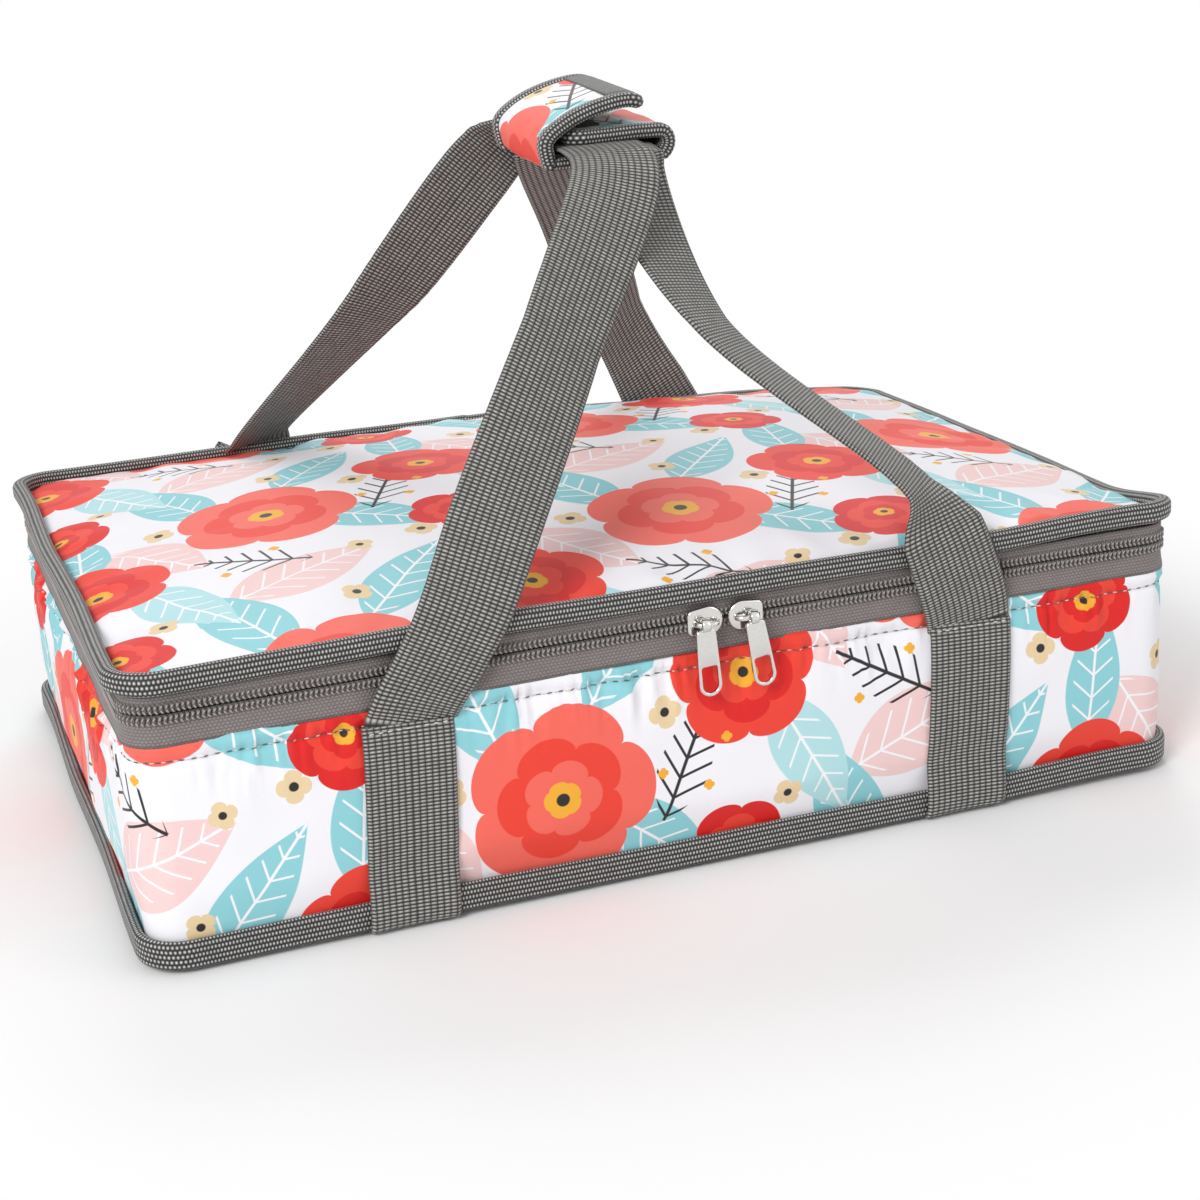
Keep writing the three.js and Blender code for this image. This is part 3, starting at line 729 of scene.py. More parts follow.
class Route:
    """A smooth line through points, with a turn of the face that changes from point to point."""

    SPAN_STEPS = 28

    def __init__(self, points: Sequence[Vector], turns: Sequence[float] = ()) -> None:
        """Lay the line through its points.

        Args:
            points: The points it passes.
            turns: How far the face has turned at each point, in radians.
        """
        self.turns = list(turns) or [0.0] * len(points)
        ends = [2 * points[0] - points[1], *points, 2 * points[-1] - points[-2]]
        self.points: list[Vector] = []
        self.places: list[float] = []
        for span in range(len(points) - 1):
            for step in range(self.SPAN_STEPS):
                share = step / self.SPAN_STEPS
                self.points.append(self._between(ends[span : span + 4], share))
                self.places.append(span + share)
        self.points.append(points[-1].copy())
        self.places.append(len(points) - 1.0)
        self.runs = [0.0]
        for first, second in zip(self.points, self.points[1:]):
            self.runs.append(self.runs[-1] + (second - first).length)

    @staticmethod
    def _between(four: Sequence[Vector], share: float) -> Vector:
        """Give a point of the centripetal curve between the middle two of four points.

        Args:
            four: The four points.
            share: The share of the way between the middle two.

        Returns:
            The point.
        """
        before, first, second, after = four
        lead, gap, trail = (max((b - a).length, MERGE) ** 0.5 for a, b in zip(four, four[1:]))
        leave = (first - before) / lead - (second - before) / (lead + gap) + (second - first) / gap
        arrive = (second - first) / gap - (after - first) / (gap + trail) + (after - second) / trail
        leave, arrive = leave * gap, arrive * gap
        square, cube = share**2, share**3
        curve = first + leave * share + (3 * (second - first) - 2 * leave - arrive) * square
        return curve + (2 * (first - second) + leave + arrive) * cube

    def length(self) -> float:
        """Give the line's length."""
        return self.runs[-1]

    def stop(self, run: float) -> tuple[Vector, Vector, float]:
        """Give a place on the line, carried straight on past either end.

        Args:
            run: How far along the line the place is.

        Returns:
            The point, the direction there, and the turn of the face.
        """
        index = min(max(bisect_right(self.runs, run) - 1, 0), len(self.runs) - 2)
        gap = max(self.runs[index + 1] - self.runs[index], MERGE)
        share = (run - self.runs[index]) / gap
        first, second = self.points[index], self.points[index + 1]
        held = min(max(share, 0.0), 1.0)
        place = self.places[index] + (self.places[index + 1] - self.places[index]) * held
        low = min(int(place), len(self.turns) - 2)
        turn = self.turns[low] + (self.turns[low + 1] - self.turns[low]) * (place - low)
        near = self.points[max(index - 1, 0)]
        far = self.points[min(index + 2, len(self.points) - 1)]
        return first.lerp(second, share), (far - near).normalized(), turn


def lattice(columns: int, rows: int, place: Callable[[int, int], Vector], chart: Chart) -> Mesh:
    """Make a sheet of cells and lay it out in space.

    Args:
        columns: Cells across.
        rows: Cells up.
        place: Where a corner goes, by its column and row.
        chart: Where that corner is on the flat cloth.

    Returns:
        The sheet, with a cloth map.
    """
    mesh = new_mesh()
    layer = mesh.loops.layers.uv[CLOTH_UV]
    bmesh.ops.create_grid(mesh, x_segments=columns, y_segments=rows, size=1.0)
    cells = {}
    for vert in mesh.verts:
        cells[vert] = round((vert.co.x + 1) / 2 * columns), round((vert.co.y + 1) / 2 * rows)
    for face in mesh.faces:
        for loop in face.loops:
            loop[layer].uv = chart(*cells[loop.vert])
    for vert, cell in cells.items():
        vert.co = place(*cell)
    return mesh


def spread_sheet(
    plan: Plan,
    cells: tuple[int, int],
    lay: Callable[[Vector, float], Vector],
    origin: Vector = Vector((0, 0)),
) -> Mesh:
    """Make a sheet that fills an outline.

    Args:
        plan: The outline.
        cells: Cells across and cells up.
        lay: Where a flat point goes, by the point and its share of the way in from the rim.
        origin: Where the outline's middle is on the flat cloth.

    Returns:
        The sheet.
    """
    columns, rows = cells

    def spot(column: int, row: int) -> tuple[Vector, float]:
        """Give a corner's flat point and its share of the way in."""
        across, up = 2 * column / columns - 1, 2 * row / rows - 1
        return plan.spread(across, up), 1 - max(abs(across), abs(up))

    def place(column: int, row: int) -> Vector:
        """Lay a corner."""
        return lay(*spot(column, row))

    def chart(column: int, row: int) -> tuple[float, float]:
        """Chart a corner flat."""
        return tuple(spot(column, row)[0] + origin)

    return lattice(columns, rows, place, chart)


def sweep(
    section: Sequence[tuple[Vector, float]],
    columns: int,
    length: float,
    lay: Callable[[int, Vector], Vector],
    chart: Chart | None = None,
    caps: bool = True,
) -> Mesh:
    """Sweep a closed section along a line.

    Args:
        section: The section's points with how far round each is, the first point again at the end.
        columns: Steps along the line.
        length: The line's length.
        lay: Where a point of the section goes at a step.
        chart: Where a corner is on the flat cloth, if not by the way round and the run.
        caps: Whether the two ends are closed, and not joined to each other.

    Returns:
        The swept mesh, with its faces outwards.
    """
    rows = len(section) - 1

    def place(column: int, row: int) -> Vector:
        """Lay a corner."""
        return lay(column, section[row % rows][0])

    def unrolled(column: int, row: int) -> tuple[float, float]:
        """Chart a corner by its way round and its run."""
        return section[row][1], length * column / columns

    return close_up(lattice(columns, rows, place, chart or unrolled), caps)


def new_mesh() -> Mesh:
    """Start an empty mesh with a cloth map.

    Returns:
        The mesh.
    """
    mesh = bmesh.new()
    mesh.loops.layers.uv.new(CLOTH_UV)
    return mesh


def close_up(mesh: Mesh, caps: bool = False) -> Mesh:
    """Merge the seams of a sheet, cap its ends if asked, and turn its faces outwards.

    Args:
        mesh: The sheet.
        caps: Whether its open ends are capped.

    Returns:
        The same mesh.
    """
    bmesh.ops.remove_doubles(mesh, verts=mesh.verts, dist=MERGE)
    if caps:
        rims = [edge for edge in mesh.edges if edge.is_boundary]
        bmesh.ops.holes_fill(mesh, edges=rims, sides=0)
    bmesh.ops.recalc_face_normals(mesh, faces=mesh.faces)
    return mesh


def turn_over(mesh: Mesh) -> Mesh:
    """Turn a sheet's faces the other way.

    Args:
        mesh: The sheet.

    Returns:
        The same mesh.
    """
    for face in mesh.faces:
        face.normal_flip()
    return mesh


def join(meshes: Sequence[Mesh]) -> Mesh:
    """Put several meshes in one, and free them.

    Args:
        meshes: The meshes.

    Returns:
        The one mesh.
    """
    whole = new_mesh()
    for mesh in meshes:
        part = bpy.data.meshes.new("part")
        mesh.to_mesh(part)
        mesh.free()
        whole.from_mesh(part)
        bpy.data.meshes.remove(part)
    return whole


def beads(places: Sequence[tuple[Vector, Vector, Vector]], size: Vector, around: int, rings: int) -> Mesh:
    """Make a row of small rounded beads, such as stitches or zipper teeth.

    Args:
        places: For each bead its centre, its direction and its outward face.
        size: Half its length, half its depth and half its height.
        around: Faces round a bead.
        rings: Faces from end to end.

    Returns:
        The row.
    """
    stretch = Matrix.Diagonal((*size, 1.0))
    batch = 24
    parts = []
    for first in range(0, len(places), batch):
        mesh = new_mesh()
        for centre, along, out in places[first : first + batch]:
            side = along.normalized()
            face = (out - side * out.dot(side)).normalized()
            turn = Matrix((side, face, side.cross(face))).transposed().to_4x4()
            matrix = Matrix.Translation(centre) @ turn @ stretch
            bmesh.ops.create_uvsphere(mesh, u_segments=around, v_segments=rings, radius=1.0, matrix=matrix)
        bmesh.ops.recalc_face_normals(mesh, faces=mesh.faces)
        parts.append(mesh)
    return join(parts)


def cushion(
    plan: Plan, cells: tuple[int, int], under: Callable[[Vector], float], over: Callable[[Vector], float]
) -> Mesh:
    """Make a closed cushion between two heights, drawn together at its rim and settled with the box.

    Args:
        plan: Its outline.
        cells: Cells across and cells up.
        under: The height of its underside at a flat point.
        over: The height of its upper side at a flat point.

    Returns:
        The cushion.
    """

    def side(level: Callable[[Vector], float]) -> Mesh:
        """Lay one side of the cushion."""

        def lay(spot: Vector, rim: float) -> Vector:
            """Lay a point of that side, closer to the other side at the rim."""
            middle = (under(spot) + over(spot)) / 2
            return settle(at_height(spot, middle + (level(spot) - middle) * ease(rim, 0.0, 0.03)))

        return spread_sheet(plan, cells, lay)

    return close_up(join([side(under), side(over)]))


# Pieces


def make_piece(
    mesh: Mesh, name: str, finish: Finish, body: Body | None, slot: Slot, replaces: Sequence[str] = ()
) -> Piece:
    """Turn a mesh into a finished piece of the carrier.

    Args:
        mesh: The piece's mesh, which is freed.
        name: The piece's name.
        finish: What it is made of.
        body: The body it rides on, or None where it rides on none.
        slot: Not used.
        replaces: CAD nodes that it stands for.

    Returns:
        The new object.
    """
    data = bpy.data.meshes.new(name)
    mesh.to_mesh(data)
    mesh.free()
    data.polygons.foreach_set("use_smooth", [True] * len(data.polygons))
    data.materials.append(finish.material())
    piece = bpy.data.objects.new(name, data)
    bpy.context.scene.collection.objects.link(piece)
    if body:
        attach(piece, body.value)
    if replaces:
        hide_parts(*replaces)
    LOG.info("%s: %d faces", name, len(data.polygons))
    return piece


def thicken(piece: Piece, thickness: float) -> None:
    """Give a sheet its thickness, inwards from its faces.

    Args:
        piece: The sheet.
        thickness: How thick it is.
    """
    layer = piece.modifiers.new("thickness", "SOLIDIFY")
    layer.thickness = thickness
    layer.offset = -1.0
    layer.use_even_offset = True


def swell(piece: Piece, sewn: Callable[[Vector], bool], pressure: float, cap: float) -> None:
    """Swell padded fabric by cloth simulation, with its sewn edge held still, and apply the result.

    Args:
        piece: The piece, before it is thickened or bent.
        sewn: Whether a point belongs to the sewn edge.
        pressure: The filling's pressure.
        cap: The most that a point may move.
    """
    last_frame = 20
    before = [vert.co.copy() for vert in piece.data.vertices]
    seam = piece.vertex_groups.new(name="seam")
    seam.add([place for place, spot in enumerate(before) if sewn(spot)], 1.0, "REPLACE")
    cloth = piece.modifiers.new("filling", "CLOTH")
    cloth.settings.vertex_group_mass = seam.name
    cloth.settings.use_pressure = True
    cloth.settings.uniform_pressure_force = pressure
    cloth.settings.effector_weights.gravity = 0.0
    for step in range(1, last_frame + 1):
        bpy.context.scene.frame_set(step)
    after = piece.evaluated_get(bpy.context.evaluated_depsgraph_get()).data
    moves = [moved.co - spot for moved, spot in zip(after.vertices, before)]
    piece.modifiers.remove(cloth)
    piece.vertex_groups.remove(seam)
    for vert, move in zip(piece.data.vertices, moves):
        vert.co += move * min(1.0, cap / max(move.length, MERGE))
    bpy.context.scene.frame_set(1)
    LOG.info("%s swells by up to %.2f mm", piece.name, max(move.length for move in moves) / MM)


def settled_copy(node: str, name: str, body: Body) -> None:
    """Stand a copy of a foam sheet, settled with the cloth round it, in for its CAD node.

    Args:
        node: The CAD node.
        name: The piece's name.
        body: The body it rides on.
    """
    longest = 30 * MM
    mesh = bmesh.new()
    mesh.from_mesh(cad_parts[node].data)
    mesh.loops.layers.uv.verify()
    bmesh.ops.remove_doubles(mesh, verts=mesh.verts, dist=10 * MERGE)
    bmesh.ops.dissolve_limit(mesh, angle_limit=0.01, verts=mesh.verts, edges=mesh.edges)
    long = [edge for edge in mesh.edges if edge.calc_length() > longest]
    bmesh.ops.subdivide_edges(mesh, edges=long, cuts=11, use_grid_fill=True)
    for vert in mesh.verts:
        vert.co = settle(vert.co)
    piece = make_piece(mesh, name, FOAM, body, Slot.FOAM, [node])


def dress(node: str, finish: Finish) -> None:
    """Give a CAD node that stays its finish.

    Args:
        node: The CAD node.
        finish: What it is made of.
    """
    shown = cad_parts[node]
    shown.data.materials.clear()
    shown.data.materials.append(finish.material())


# Sub-assemblies


@dataclass
class Edging:
    """A ribbed binding folded over a seam and followed round the box."""

    plan: Plan
    node: str
    name: str
    body: Body
    wander: float
    inner: float = 0.1 * MM
    sway_wave: float = 70 * MM
    lift_wave: float = 90 * MM
    columns: int = 520

    def build(self) -> None:
        """Build the binding as a soft flattened roll in its CAD node's space."""
        low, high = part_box(self.node)
        outer = high.x - self.plan.half_x
        wide, tall = outer - self.inner, high.z - low.z
        roll = Plan(wide / 2, tall / 2, min(wide, tall) * 0.42)
        length = self.plan.length()
        middle = (low.z + high.z) / 2

        def lay(column: int, edge: Vector) -> Vector:
            """Lay a point of the roll round the seam."""
            run = length * (column % self.columns) / self.columns
            flat, normal = self.plan.at(run)
            sway = self.wander * ripple(run, 0.0, self.sway_wave, Seed.BINDING_SWAY)
            lift = self.wander * ripple(run, 0.0, self.lift_wave, Seed.BINDING_LIFT)
            spot = flat + normal * ((self.inner + outer) / 2 + edge.x + 0.5 * sway)
            return settle(at_height(spot, middle + edge.y + lift))

        mesh = sweep(roll.section(18), self.columns, length, lay, caps=False)
        make_piece(mesh, self.name, BINDING, self.body, Slot.WEBBING, [self.node])


@dataclass
class SoftBox:
    """The printed box: its walls, base, binding and liner."""

    plan: Plan
    floor: float
    top: float
    straps: Sequence[float]
    stitch: float = 81 * MM
    shoulder: float = 48 * MM
    belly: float = 3.4 * MM
    pucker: float = 2.3 * MM
    seam_depth: float = 0.9 * MM
    columns: int = 900

    def wall(self, distance: float, height: float) -> float:
        """Give how far the wall's cloth stands proud of its flat outline.

        Args:
            distance: Place along the outline.
            height: Height above the floor.

        Returns:
            The outward offset.
        """
        point, normal = self.plan.at(distance)
        level = abs(normal.y) > 0.7
        along, half = (point.x, self.plan.half_x) if level else (point.y, self.plan.half_y)
        hem, free = 12 * MM, 30 * MM
        strap_edge, strap_clear = 14 * MM, 24 * MM
        corner_edge, corner_clear = 10 * MM, 40 * MM
        tape_edge, tape_clear = 1 * MM, 3.5 * MM
        gathers_down, gathers_up = 13 * MM, 8 * MM
        groove_width, roll_width, roll_rise = 1.7 * MM, 2.4 * MM, 4 * MM
        # The wall bellies out between its corners, below the stitches.
        drawn = min(max((height - self.shoulder) / (self.stitch - self.shoulder), 0.0), 1.0)
        hold = ease(height, hem, free)
        belly = self.belly * (1 - (abs(along) / half) ** 4) * hold * (1 - drawn**3)
        # Gathers spread from the stitches, and the straps and corners keep them flat.
        strap = min(abs(along - place) for place in self.straps) if level else 1.0
        by_strap = 0.15 + 0.85 * ease(strap, strap_edge, strap_clear)
        by_corner = 0.2 + 0.8 * ease(half - abs(along), corner_edge, corner_clear)
        above = height - self.stitch
        by_seam = bell(above, gathers_down if above < 0 else gathers_up)
        by_tape = 1 - ease(height, self.top - tape_clear, self.top - tape_edge)
        short = ripple(distance, 0.12 * height, 4.5 * MM, Seed.SHORT_GATHERS)
        long = ripple(distance, 0.2 * height, 13 * MM, Seed.LONG_GATHERS)
        gathers = self.pucker * by_seam * by_tape * (1.1 * abs(short) + 0.9 * abs(long) - 0.45)
        slack = 0.9 * ripple(distance, height, 55 * MM, Seed.WALL)
        slack += 0.35 * ripple(distance, height, 23 * MM, Seed.FINE_WALL)
        soft = by_strap * by_corner * (gathers + hold * slack * MM)
        # The stitches lie in a groove, with a roll of cloth above it.
        seam = self.seam_depth * (bell(above - roll_rise, roll_width) - bell(above, groove_width))
        # The cloth never sinks into the foam behind it.
        return max(belly + seam + soft, -self.seam_depth)

    def wall_point(self, distance: float, height: float, proud: float = 0.0) -> Vector:
        """Give a point on the wall, proud of its cloth by a distance."""
        flat, normal = self.plan.at(distance)
        return settle(at_height(flat + normal * (self.wall(distance, height) + proud), height))

    def build_walls(self) -> None:
        """Build the printed band, tucked and gathered under its topstitch."""
        rows = 48
        length = self.plan.length()

        def chart(column: int, row: int) -> tuple[float, float]:
            """Chart the cloth by its run and height."""
            return length * column / self.columns, self.floor + (self.top - self.floor) * row / rows

        def place(column: int, row: int) -> Vector:
            """Lay a corner of the cloth on the wall."""
            return self.wall_point(*chart(column % self.columns, row))

        band = close_up(lattice(self.columns, rows, place, chart))
        piece = make_piece(band, "printed_wall_band", PRINT, Body.CARRIER, Slot.PRINT, ["body_outer_band"])
        thicken(piece, 1.0 * MM)

    def build_topstitch(self) -> None:
        """Sew the line below the zipper, round the front and both sides: pale stitches, painted shade
        between.
        """
        low = self.plan.half_x - self.plan.radius
        high = self.plan.length() - low
        pitch, proud = 4.2 * MM, 0.4 * MM
        rows = [
            ("wall_topstitch", THREAD, 0.5, Vector((1.0, 0.24, 0.24))),
            # Grey beads between the stitches: painted shade where the thread dips into its holes.
            ("wall_topstitch_hole_shade", STITCH_HOLE_SHADE, 0.0, Vector((1.25, 0.22, 0.24))),
        ]
        for name, finish, shift, size in rows:
            places = []
            for stitch in range(int((high - low) / pitch)):
                run = low + pitch * (stitch + shift)
                before = self.wall_point(run - pitch / 4, self.stitch, proud)
                after = self.wall_point(run + pitch / 4, self.stitch, proud)
                places.append(((before + after) / 2, after - before, self.plan.at(run)[1].to_3d()))
            make_piece(beads(places, size * MM, 6, 5), name, finish, Body.CARRIER, Slot.TAPE)

    def build_base(self) -> None:
        """Build the woven base panel under the board."""
        node = "base_outer_panel"
        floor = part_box(node)[0].z + 0.3 * MM

        def lay(spot: Vector, rim: float) -> Vector:
            """Lay a point of the panel, a little slack between the straps."""
            return at_height(spot, floor + 0.25 * MM * ripple(spot.x, spot.y, 60 * MM, Seed.BASE))

        sheet = turn_over(spread_sheet(self.plan, (80, 56), lay))
        piece = make_piece(sheet, "woven_base_panel", WEBBING, Body.CARRIER, Slot.WEBBING, [node])
        thicken(piece, 0.6 * MM)

    def build_liner(self) -> None:
        """Build the crinkled film tray, with its rim turned out to the zipper tape."""
        low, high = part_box("liner_tray")
        inner = Plan(high.x - 0.5 * MM, high.y - 0.5 * MM, 7 * MM)
        columns, rows = 120, 96
        floor_share, wall_share = 0.66, 0.94
        floor, rim_width = low.z + 0.6 * MM, 6 * MM
        deep = high.z - low.z

        def place(column: int, row: int) -> Vector:
            """Lay a corner of the film on the floor, up a wall or out on the rim."""
            across, up = 2 * column / columns - 1, 2 * row / rows - 1
            share = max(abs(across), abs(up), MERGE)
            rim = inner.spread(across / share, up / share)
            crease = abs(0.5 * MM * ripple(rim.x + across * 0.2, rim.y + up * 0.2, 22 * MM, Seed.TRAY))
            if share <= floor_share:
                return at_height(rim * (share / floor_share), floor + crease)
            climb = min((share - floor_share) / (wall_share - floor_share), 1.0)
            out = max(share - wall_share, 0.0) / (1 - wall_share) * rim_width
            step = out - crease * math.sin(math.pi * climb)
            return settle(at_height(rim + rim.normalized() * step, floor + (deep - 0.8 * MM) * climb))

        def chart(column: int, row: int) -> tuple[float, float]:
            """Chart the film by its cell."""
            return 0.5 * column / columns, 0.4 * row / rows

        sheet = lattice(columns, rows, place, chart)
        bmesh.ops.recalc_face_normals(sheet, faces=sheet.faces)
        piece = make_piece(sheet, "film_liner_tray", FOIL, Body.CARRIER, Slot.FOIL, ["liner_tray"])

    def build(self) -> None:
        """Build every piece of the box."""
        self.build_walls()
        self.build_topstitch()
        self.build_base()
        self.build_liner()
        Edging(self.plan, "base_binding", "base_edge_binding", Body.CARRIER, 0.9 * MM).build()
        for side in ("front", "back", "left", "right"):
            settled_copy(f"{side}_wall_foam", f"{side}_wall_pad", Body.CARRIER)
        dress("base_foam", FOAM)
        dress("base_board", BOARD)


@dataclass
class Zipper:
    """Two tapes and two rows of coil round three sides, and the cloth hinge along the back."""

    plan: Plan
    pitch: float = 1.9 * MM
    recess: float = 0.5 * MM

    def limits(self) -> tuple[float, float]:
        """Give where the zipper starts and ends along the outline."""
        start = self.plan.half_x - self.plan.radius + math.pi / 2 * self.plan.radius
        return start, self.plan.length() - start

    def tape(self, node: str, name: str, body: Body) -> None:
        """Build one tape as a thin band with soft edges.

        Args:
            node: The CAD node it stands for.
            name: The piece's name.
            body: The body it rides on.
        """
        low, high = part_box(node)
        lower = body is Body.CARRIER
        # The tape runs on behind its coil row, as far as the middle of the zipper.
        # The lower one laps over the top of the wall.
        lap, flare = 1.4 * MM, 1.3 * MM
        bottom = low.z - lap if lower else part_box("zipper_coil_upper")[0].z
        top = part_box("zipper_coil_lower")[1].z if lower else high.z
        start, end = self.limits()
        columns = 300

        def lay(column: int, edge: Vector) -> Vector:
            """Lay a point of the tape along the seam."""
            run = start + (end - start) * column / columns
            flat, normal = self.plan.at(run)
            wave = 0.3 * MM * ripple(run, 0.0, 30 * MM, Seed.TAPE)
            over_wall = flare * (0.5 - edge.y / (top - bottom)) ** 3 if lower else 0.0
            spot = flat + normal * (edge.x - self.recess + wave + over_wall)
            return settle(at_height(spot, (bottom + top) / 2 + edge.y))

        section = Plan(0.35 * MM, (top - bottom) / 2, 0.3 * MM).section(12)
        mesh = sweep(section, columns, end - start, lay)
        make_piece(mesh, name, TAPE, body, Slot.TAPE, [node])

    def coil(self, node: str, name: str, body: Body, lean: float) -> None:
        """Build one row of coil as separate teeth, with the thread that sews them to the tape.

        Args:
            node: The CAD node it stands for.
            name: The piece's name.
            body: The body it rides on.
            lean: How far each tooth leans along the row, as a slope.
        """
        low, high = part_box(node)
        start, end = self.limits()
        shift = 0.5 if lean > 0 else 1.0
        proud, level, slant = 1.36 * MM, 0.85 * MM, 0.8
        teeth, sewn = [], []
        for tooth in range(int((end - start) / self.pitch) - 1):
            flat, normal = self.plan.at(start + self.pitch * (tooth + shift))
            centre = settle(at_height(flat - normal * self.recess, (low.z + high.z) / 2))
            out, along = normal.to_3d(), Vector((-normal.y, normal.x, 0))
            way = along * lean + UPWARDS
            teeth.append((centre, way, out))
            for side in (1, -1):
                spot = centre + out * proud + way.normalized() * (side * level)
                sewn.append((spot, UPWARDS + along * (side * slant), out))
        size = Vector(((high.z - low.z) / 2 + 0.5 * MM, 1.5 * MM, 0.92 * MM))
        make_piece(beads(teeth, size, 7, 5), name, COIL, body, Slot.COIL, [node])
        stitches = beads(sewn, Vector((1.0, 0.28, 0.31)) * MM, 5, 4)
        make_piece(stitches, f"{name}_sewing", CHAIN, body, Slot.TAPE)

    def hinge(self) -> None:
        """Build the printed strip that hinges the lid along the back."""
        low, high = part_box("lid_hinge_strip")
        start, end = self.limits()
        run, tall = 2 * start, high.z - low.z
        columns, rows = 150, 8

        def chart(column: int, row: int) -> tuple[float, float]:
            """Chart the strip on from the walls below it."""
            return end + run * column / columns, low.z + tall * row / rows

        def place(column: int, row: int) -> Vector:
            """Lay a corner of the strip, bowed out between its two seams."""
            distance, height = chart(column, row)
            share = row / rows
            flat, normal = self.plan.at(distance)
            wave = 0.3 * MM * ripple(distance, share, 25 * MM, Seed.HINGE)
            bow = 1.2 * MM * math.sin(math.pi * share) + wave
            return settle(at_height(flat + normal * (bow - 0.3 * MM), height))

        mesh = lattice(columns, rows, place, chart)
        bmesh.ops.recalc_face_normals(mesh, faces=mesh.faces)
        bmesh.ops.solidify(mesh, geom=list(mesh.faces), thickness=0.8 * MM)
        piece = make_piece(mesh, "printed_hinge_strip", PRINT, None, Slot.PRINT, ["lid_hinge_strip"])
        foot, head = (settle(Vector((0, self.plan.half_y, level))) for level in (low.z, high.z))
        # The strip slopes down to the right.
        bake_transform(piece)

    def build(self) -> None:
        """Build both tapes, both rows and the hinge."""
        lean = 0.12
        self.tape("zipper_tape_lower", "lower_zipper_tape", Body.CARRIER)
        self.tape("zipper_tape_upper", "upper_zipper_tape", Body.LID)
        self.coil("zipper_coil_lower", "lower_coil_row", Body.CARRIER, lean)
        self.coil("zipper_coil_upper", "upper_coil_row", Body.LID, -lean)
        self.hinge()


@dataclass
class Lid:
    """The padded lid: its crowned printed panel, filling, film lining and binding."""

    plan: Plan
    long_fullness: float = 5.0
    short_fullness: float = 3.4
    recess: float = 4.5 * MM
    dip: float = 5.0 * MM
    dip_width: float = 42 * MM
    tuck_depth: float = 1.9 * MM
    tuck_reach: float = 26 * MM
    wave_depth: float = 1.3 * MM
    seam: float = 6 * MM
    print_origin: Vector = Vector((0.31, 0.27))

    def __post_init__(self) -> None:
        """Take the height of the binding's top, and of the crown above it, from CAD."""
        self.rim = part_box("lid_binding")[1].z
        self.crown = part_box("lid_outer_panel")[1].z - self.rim

    def margin(self, spot: Vector) -> float:
        """Give how far a point is from the nearest straight side."""
        return min(self.plan.half_x - abs(spot.x), self.plan.half_y - abs(spot.y))

    def crest(self, spot: Vector) -> float:
        """Give the panel's height: lifted by the padding, or sunk below its binding.

        The binding stands proud of the panel on the left and at the front right corner.

        Args:
            spot: The flat point.

        Returns:
            The height there, before the box settles.
        """
        long = 1 - min(abs(spot.x) / self.plan.half_x, 1.0) ** self.long_fullness
        short = 1 - min(abs(spot.y) / self.plan.half_y, 1.0) ** self.short_fullness
        edge = self.margin(spot)
        pull = math.exp(-edge / self.tuck_reach) * ease(edge, 0.0, self.seam)
        level = self.plan.half_y - abs(spot.y) < self.plan.half_x - abs(spot.x)
        run = spot.x if level else spot.y
        tucks = self.tuck_depth * pull * ripple(run, 0.3 * edge, 16 * MM, Seed.LID_TUCKS)
        waves = self.wave_depth * long * short * ripple(spot.x, spot.y, 62 * MM, Seed.LID_WAVES)
        recess_end = 120 * MM
        sunk = self.recess * (1 - ease(spot.x, -recess_end, recess_end))
        away = math.hypot(self.plan.half_x - spot.x, self.plan.half_y + spot.y)
        dip = self.dip * bell(away, self.dip_width)
        return self.rim + self.crown * long * short + tucks + waves - sunk - dip

    def build_panel(self) -> None:
        """Build the printed panel, crowned over its wadding."""
        tuck, cap, pressure = 3 * MM, 4 * MM, 1.0

        def lay(spot: Vector, rim: float) -> Vector:
            """Lift a point of the panel over the wadding, or tuck it under the binding at the rim."""
            return settle(at_height(spot, self.crest(spot) - tuck * (1 - ease(rim, 0.0, 0.02))))

        mesh = spread_sheet(self.plan, (136, 96), lay, self.print_origin)
        piece = make_piece(mesh, "printed_lid_panel", PRINT, Body.LID, Slot.PRINT, ["lid_outer_panel"])
        swell(piece, lambda spot: self.margin(spot) < self.seam, pressure, cap)
        thicken(piece, 1.0 * MM)

    def build_filling(self) -> None:
        """Build the foam sheet, and the crowned wadding that the panel is drawn over."""
        inset, cover, thinnest, gap = 2.6 * MM, 1.9 * MM, 0.8 * MM, 0.3 * MM
        inner = Plan(self.plan.half_x - inset, self.plan.half_y - inset, self.plan.radius - inset)
        low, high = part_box("lid_foam")
        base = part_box("lid_wadding")[0].z

        def crown(spot: Vector) -> float:
            """Give the wadding's height, just under the panel."""
            return self.crest(spot) - cover

        def seat(spot: Vector) -> float:
            """Give where the wadding sits on the foam, which is pressed down along the left."""
            return min(base, crown(spot) - thinnest)

        foam = cushion(inner, (60, 42), lambda spot: low.z, lambda spot: min(high.z, seat(spot) - gap))
        piece = make_piece(foam, "lid_foam_sheet", FOAM, Body.LID, Slot.FOAM, ["lid_foam"])
        wadding = cushion(inner, (90, 64), seat, crown)
        piece = make_piece(wadding, "lid_crown_wadding", FOAM, Body.LID, Slot.FOAM, ["lid_wadding"])

    def build_lining(self) -> None:
        """Build the crinkled film under the lid."""
        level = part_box("lid_liner")[0].z + 0.3 * MM

        def lay(spot: Vector, rim: float) -> Vector:
            """Lay a point of the film under the foam."""
            crease = 0.25 * MM * ripple(spot.x, spot.y, 20 * MM, Seed.LINING)
            return settle(at_height(spot, level + crease))

        sheet = turn_over(spread_sheet(self.plan, (90, 60), lay))
        piece = make_piece(sheet, "film_lid_lining", FOIL, Body.LID, Slot.FOIL, ["lid_liner"])

    def build(self) -> None:
        """Build every piece of the lid."""
        self.build_panel()
        self.build_filling()
        self.build_lining()
        Edging(self.plan, "lid_binding", "lid_edge_binding", Body.LID, 1.1 * MM, -2.2 * MM).build()


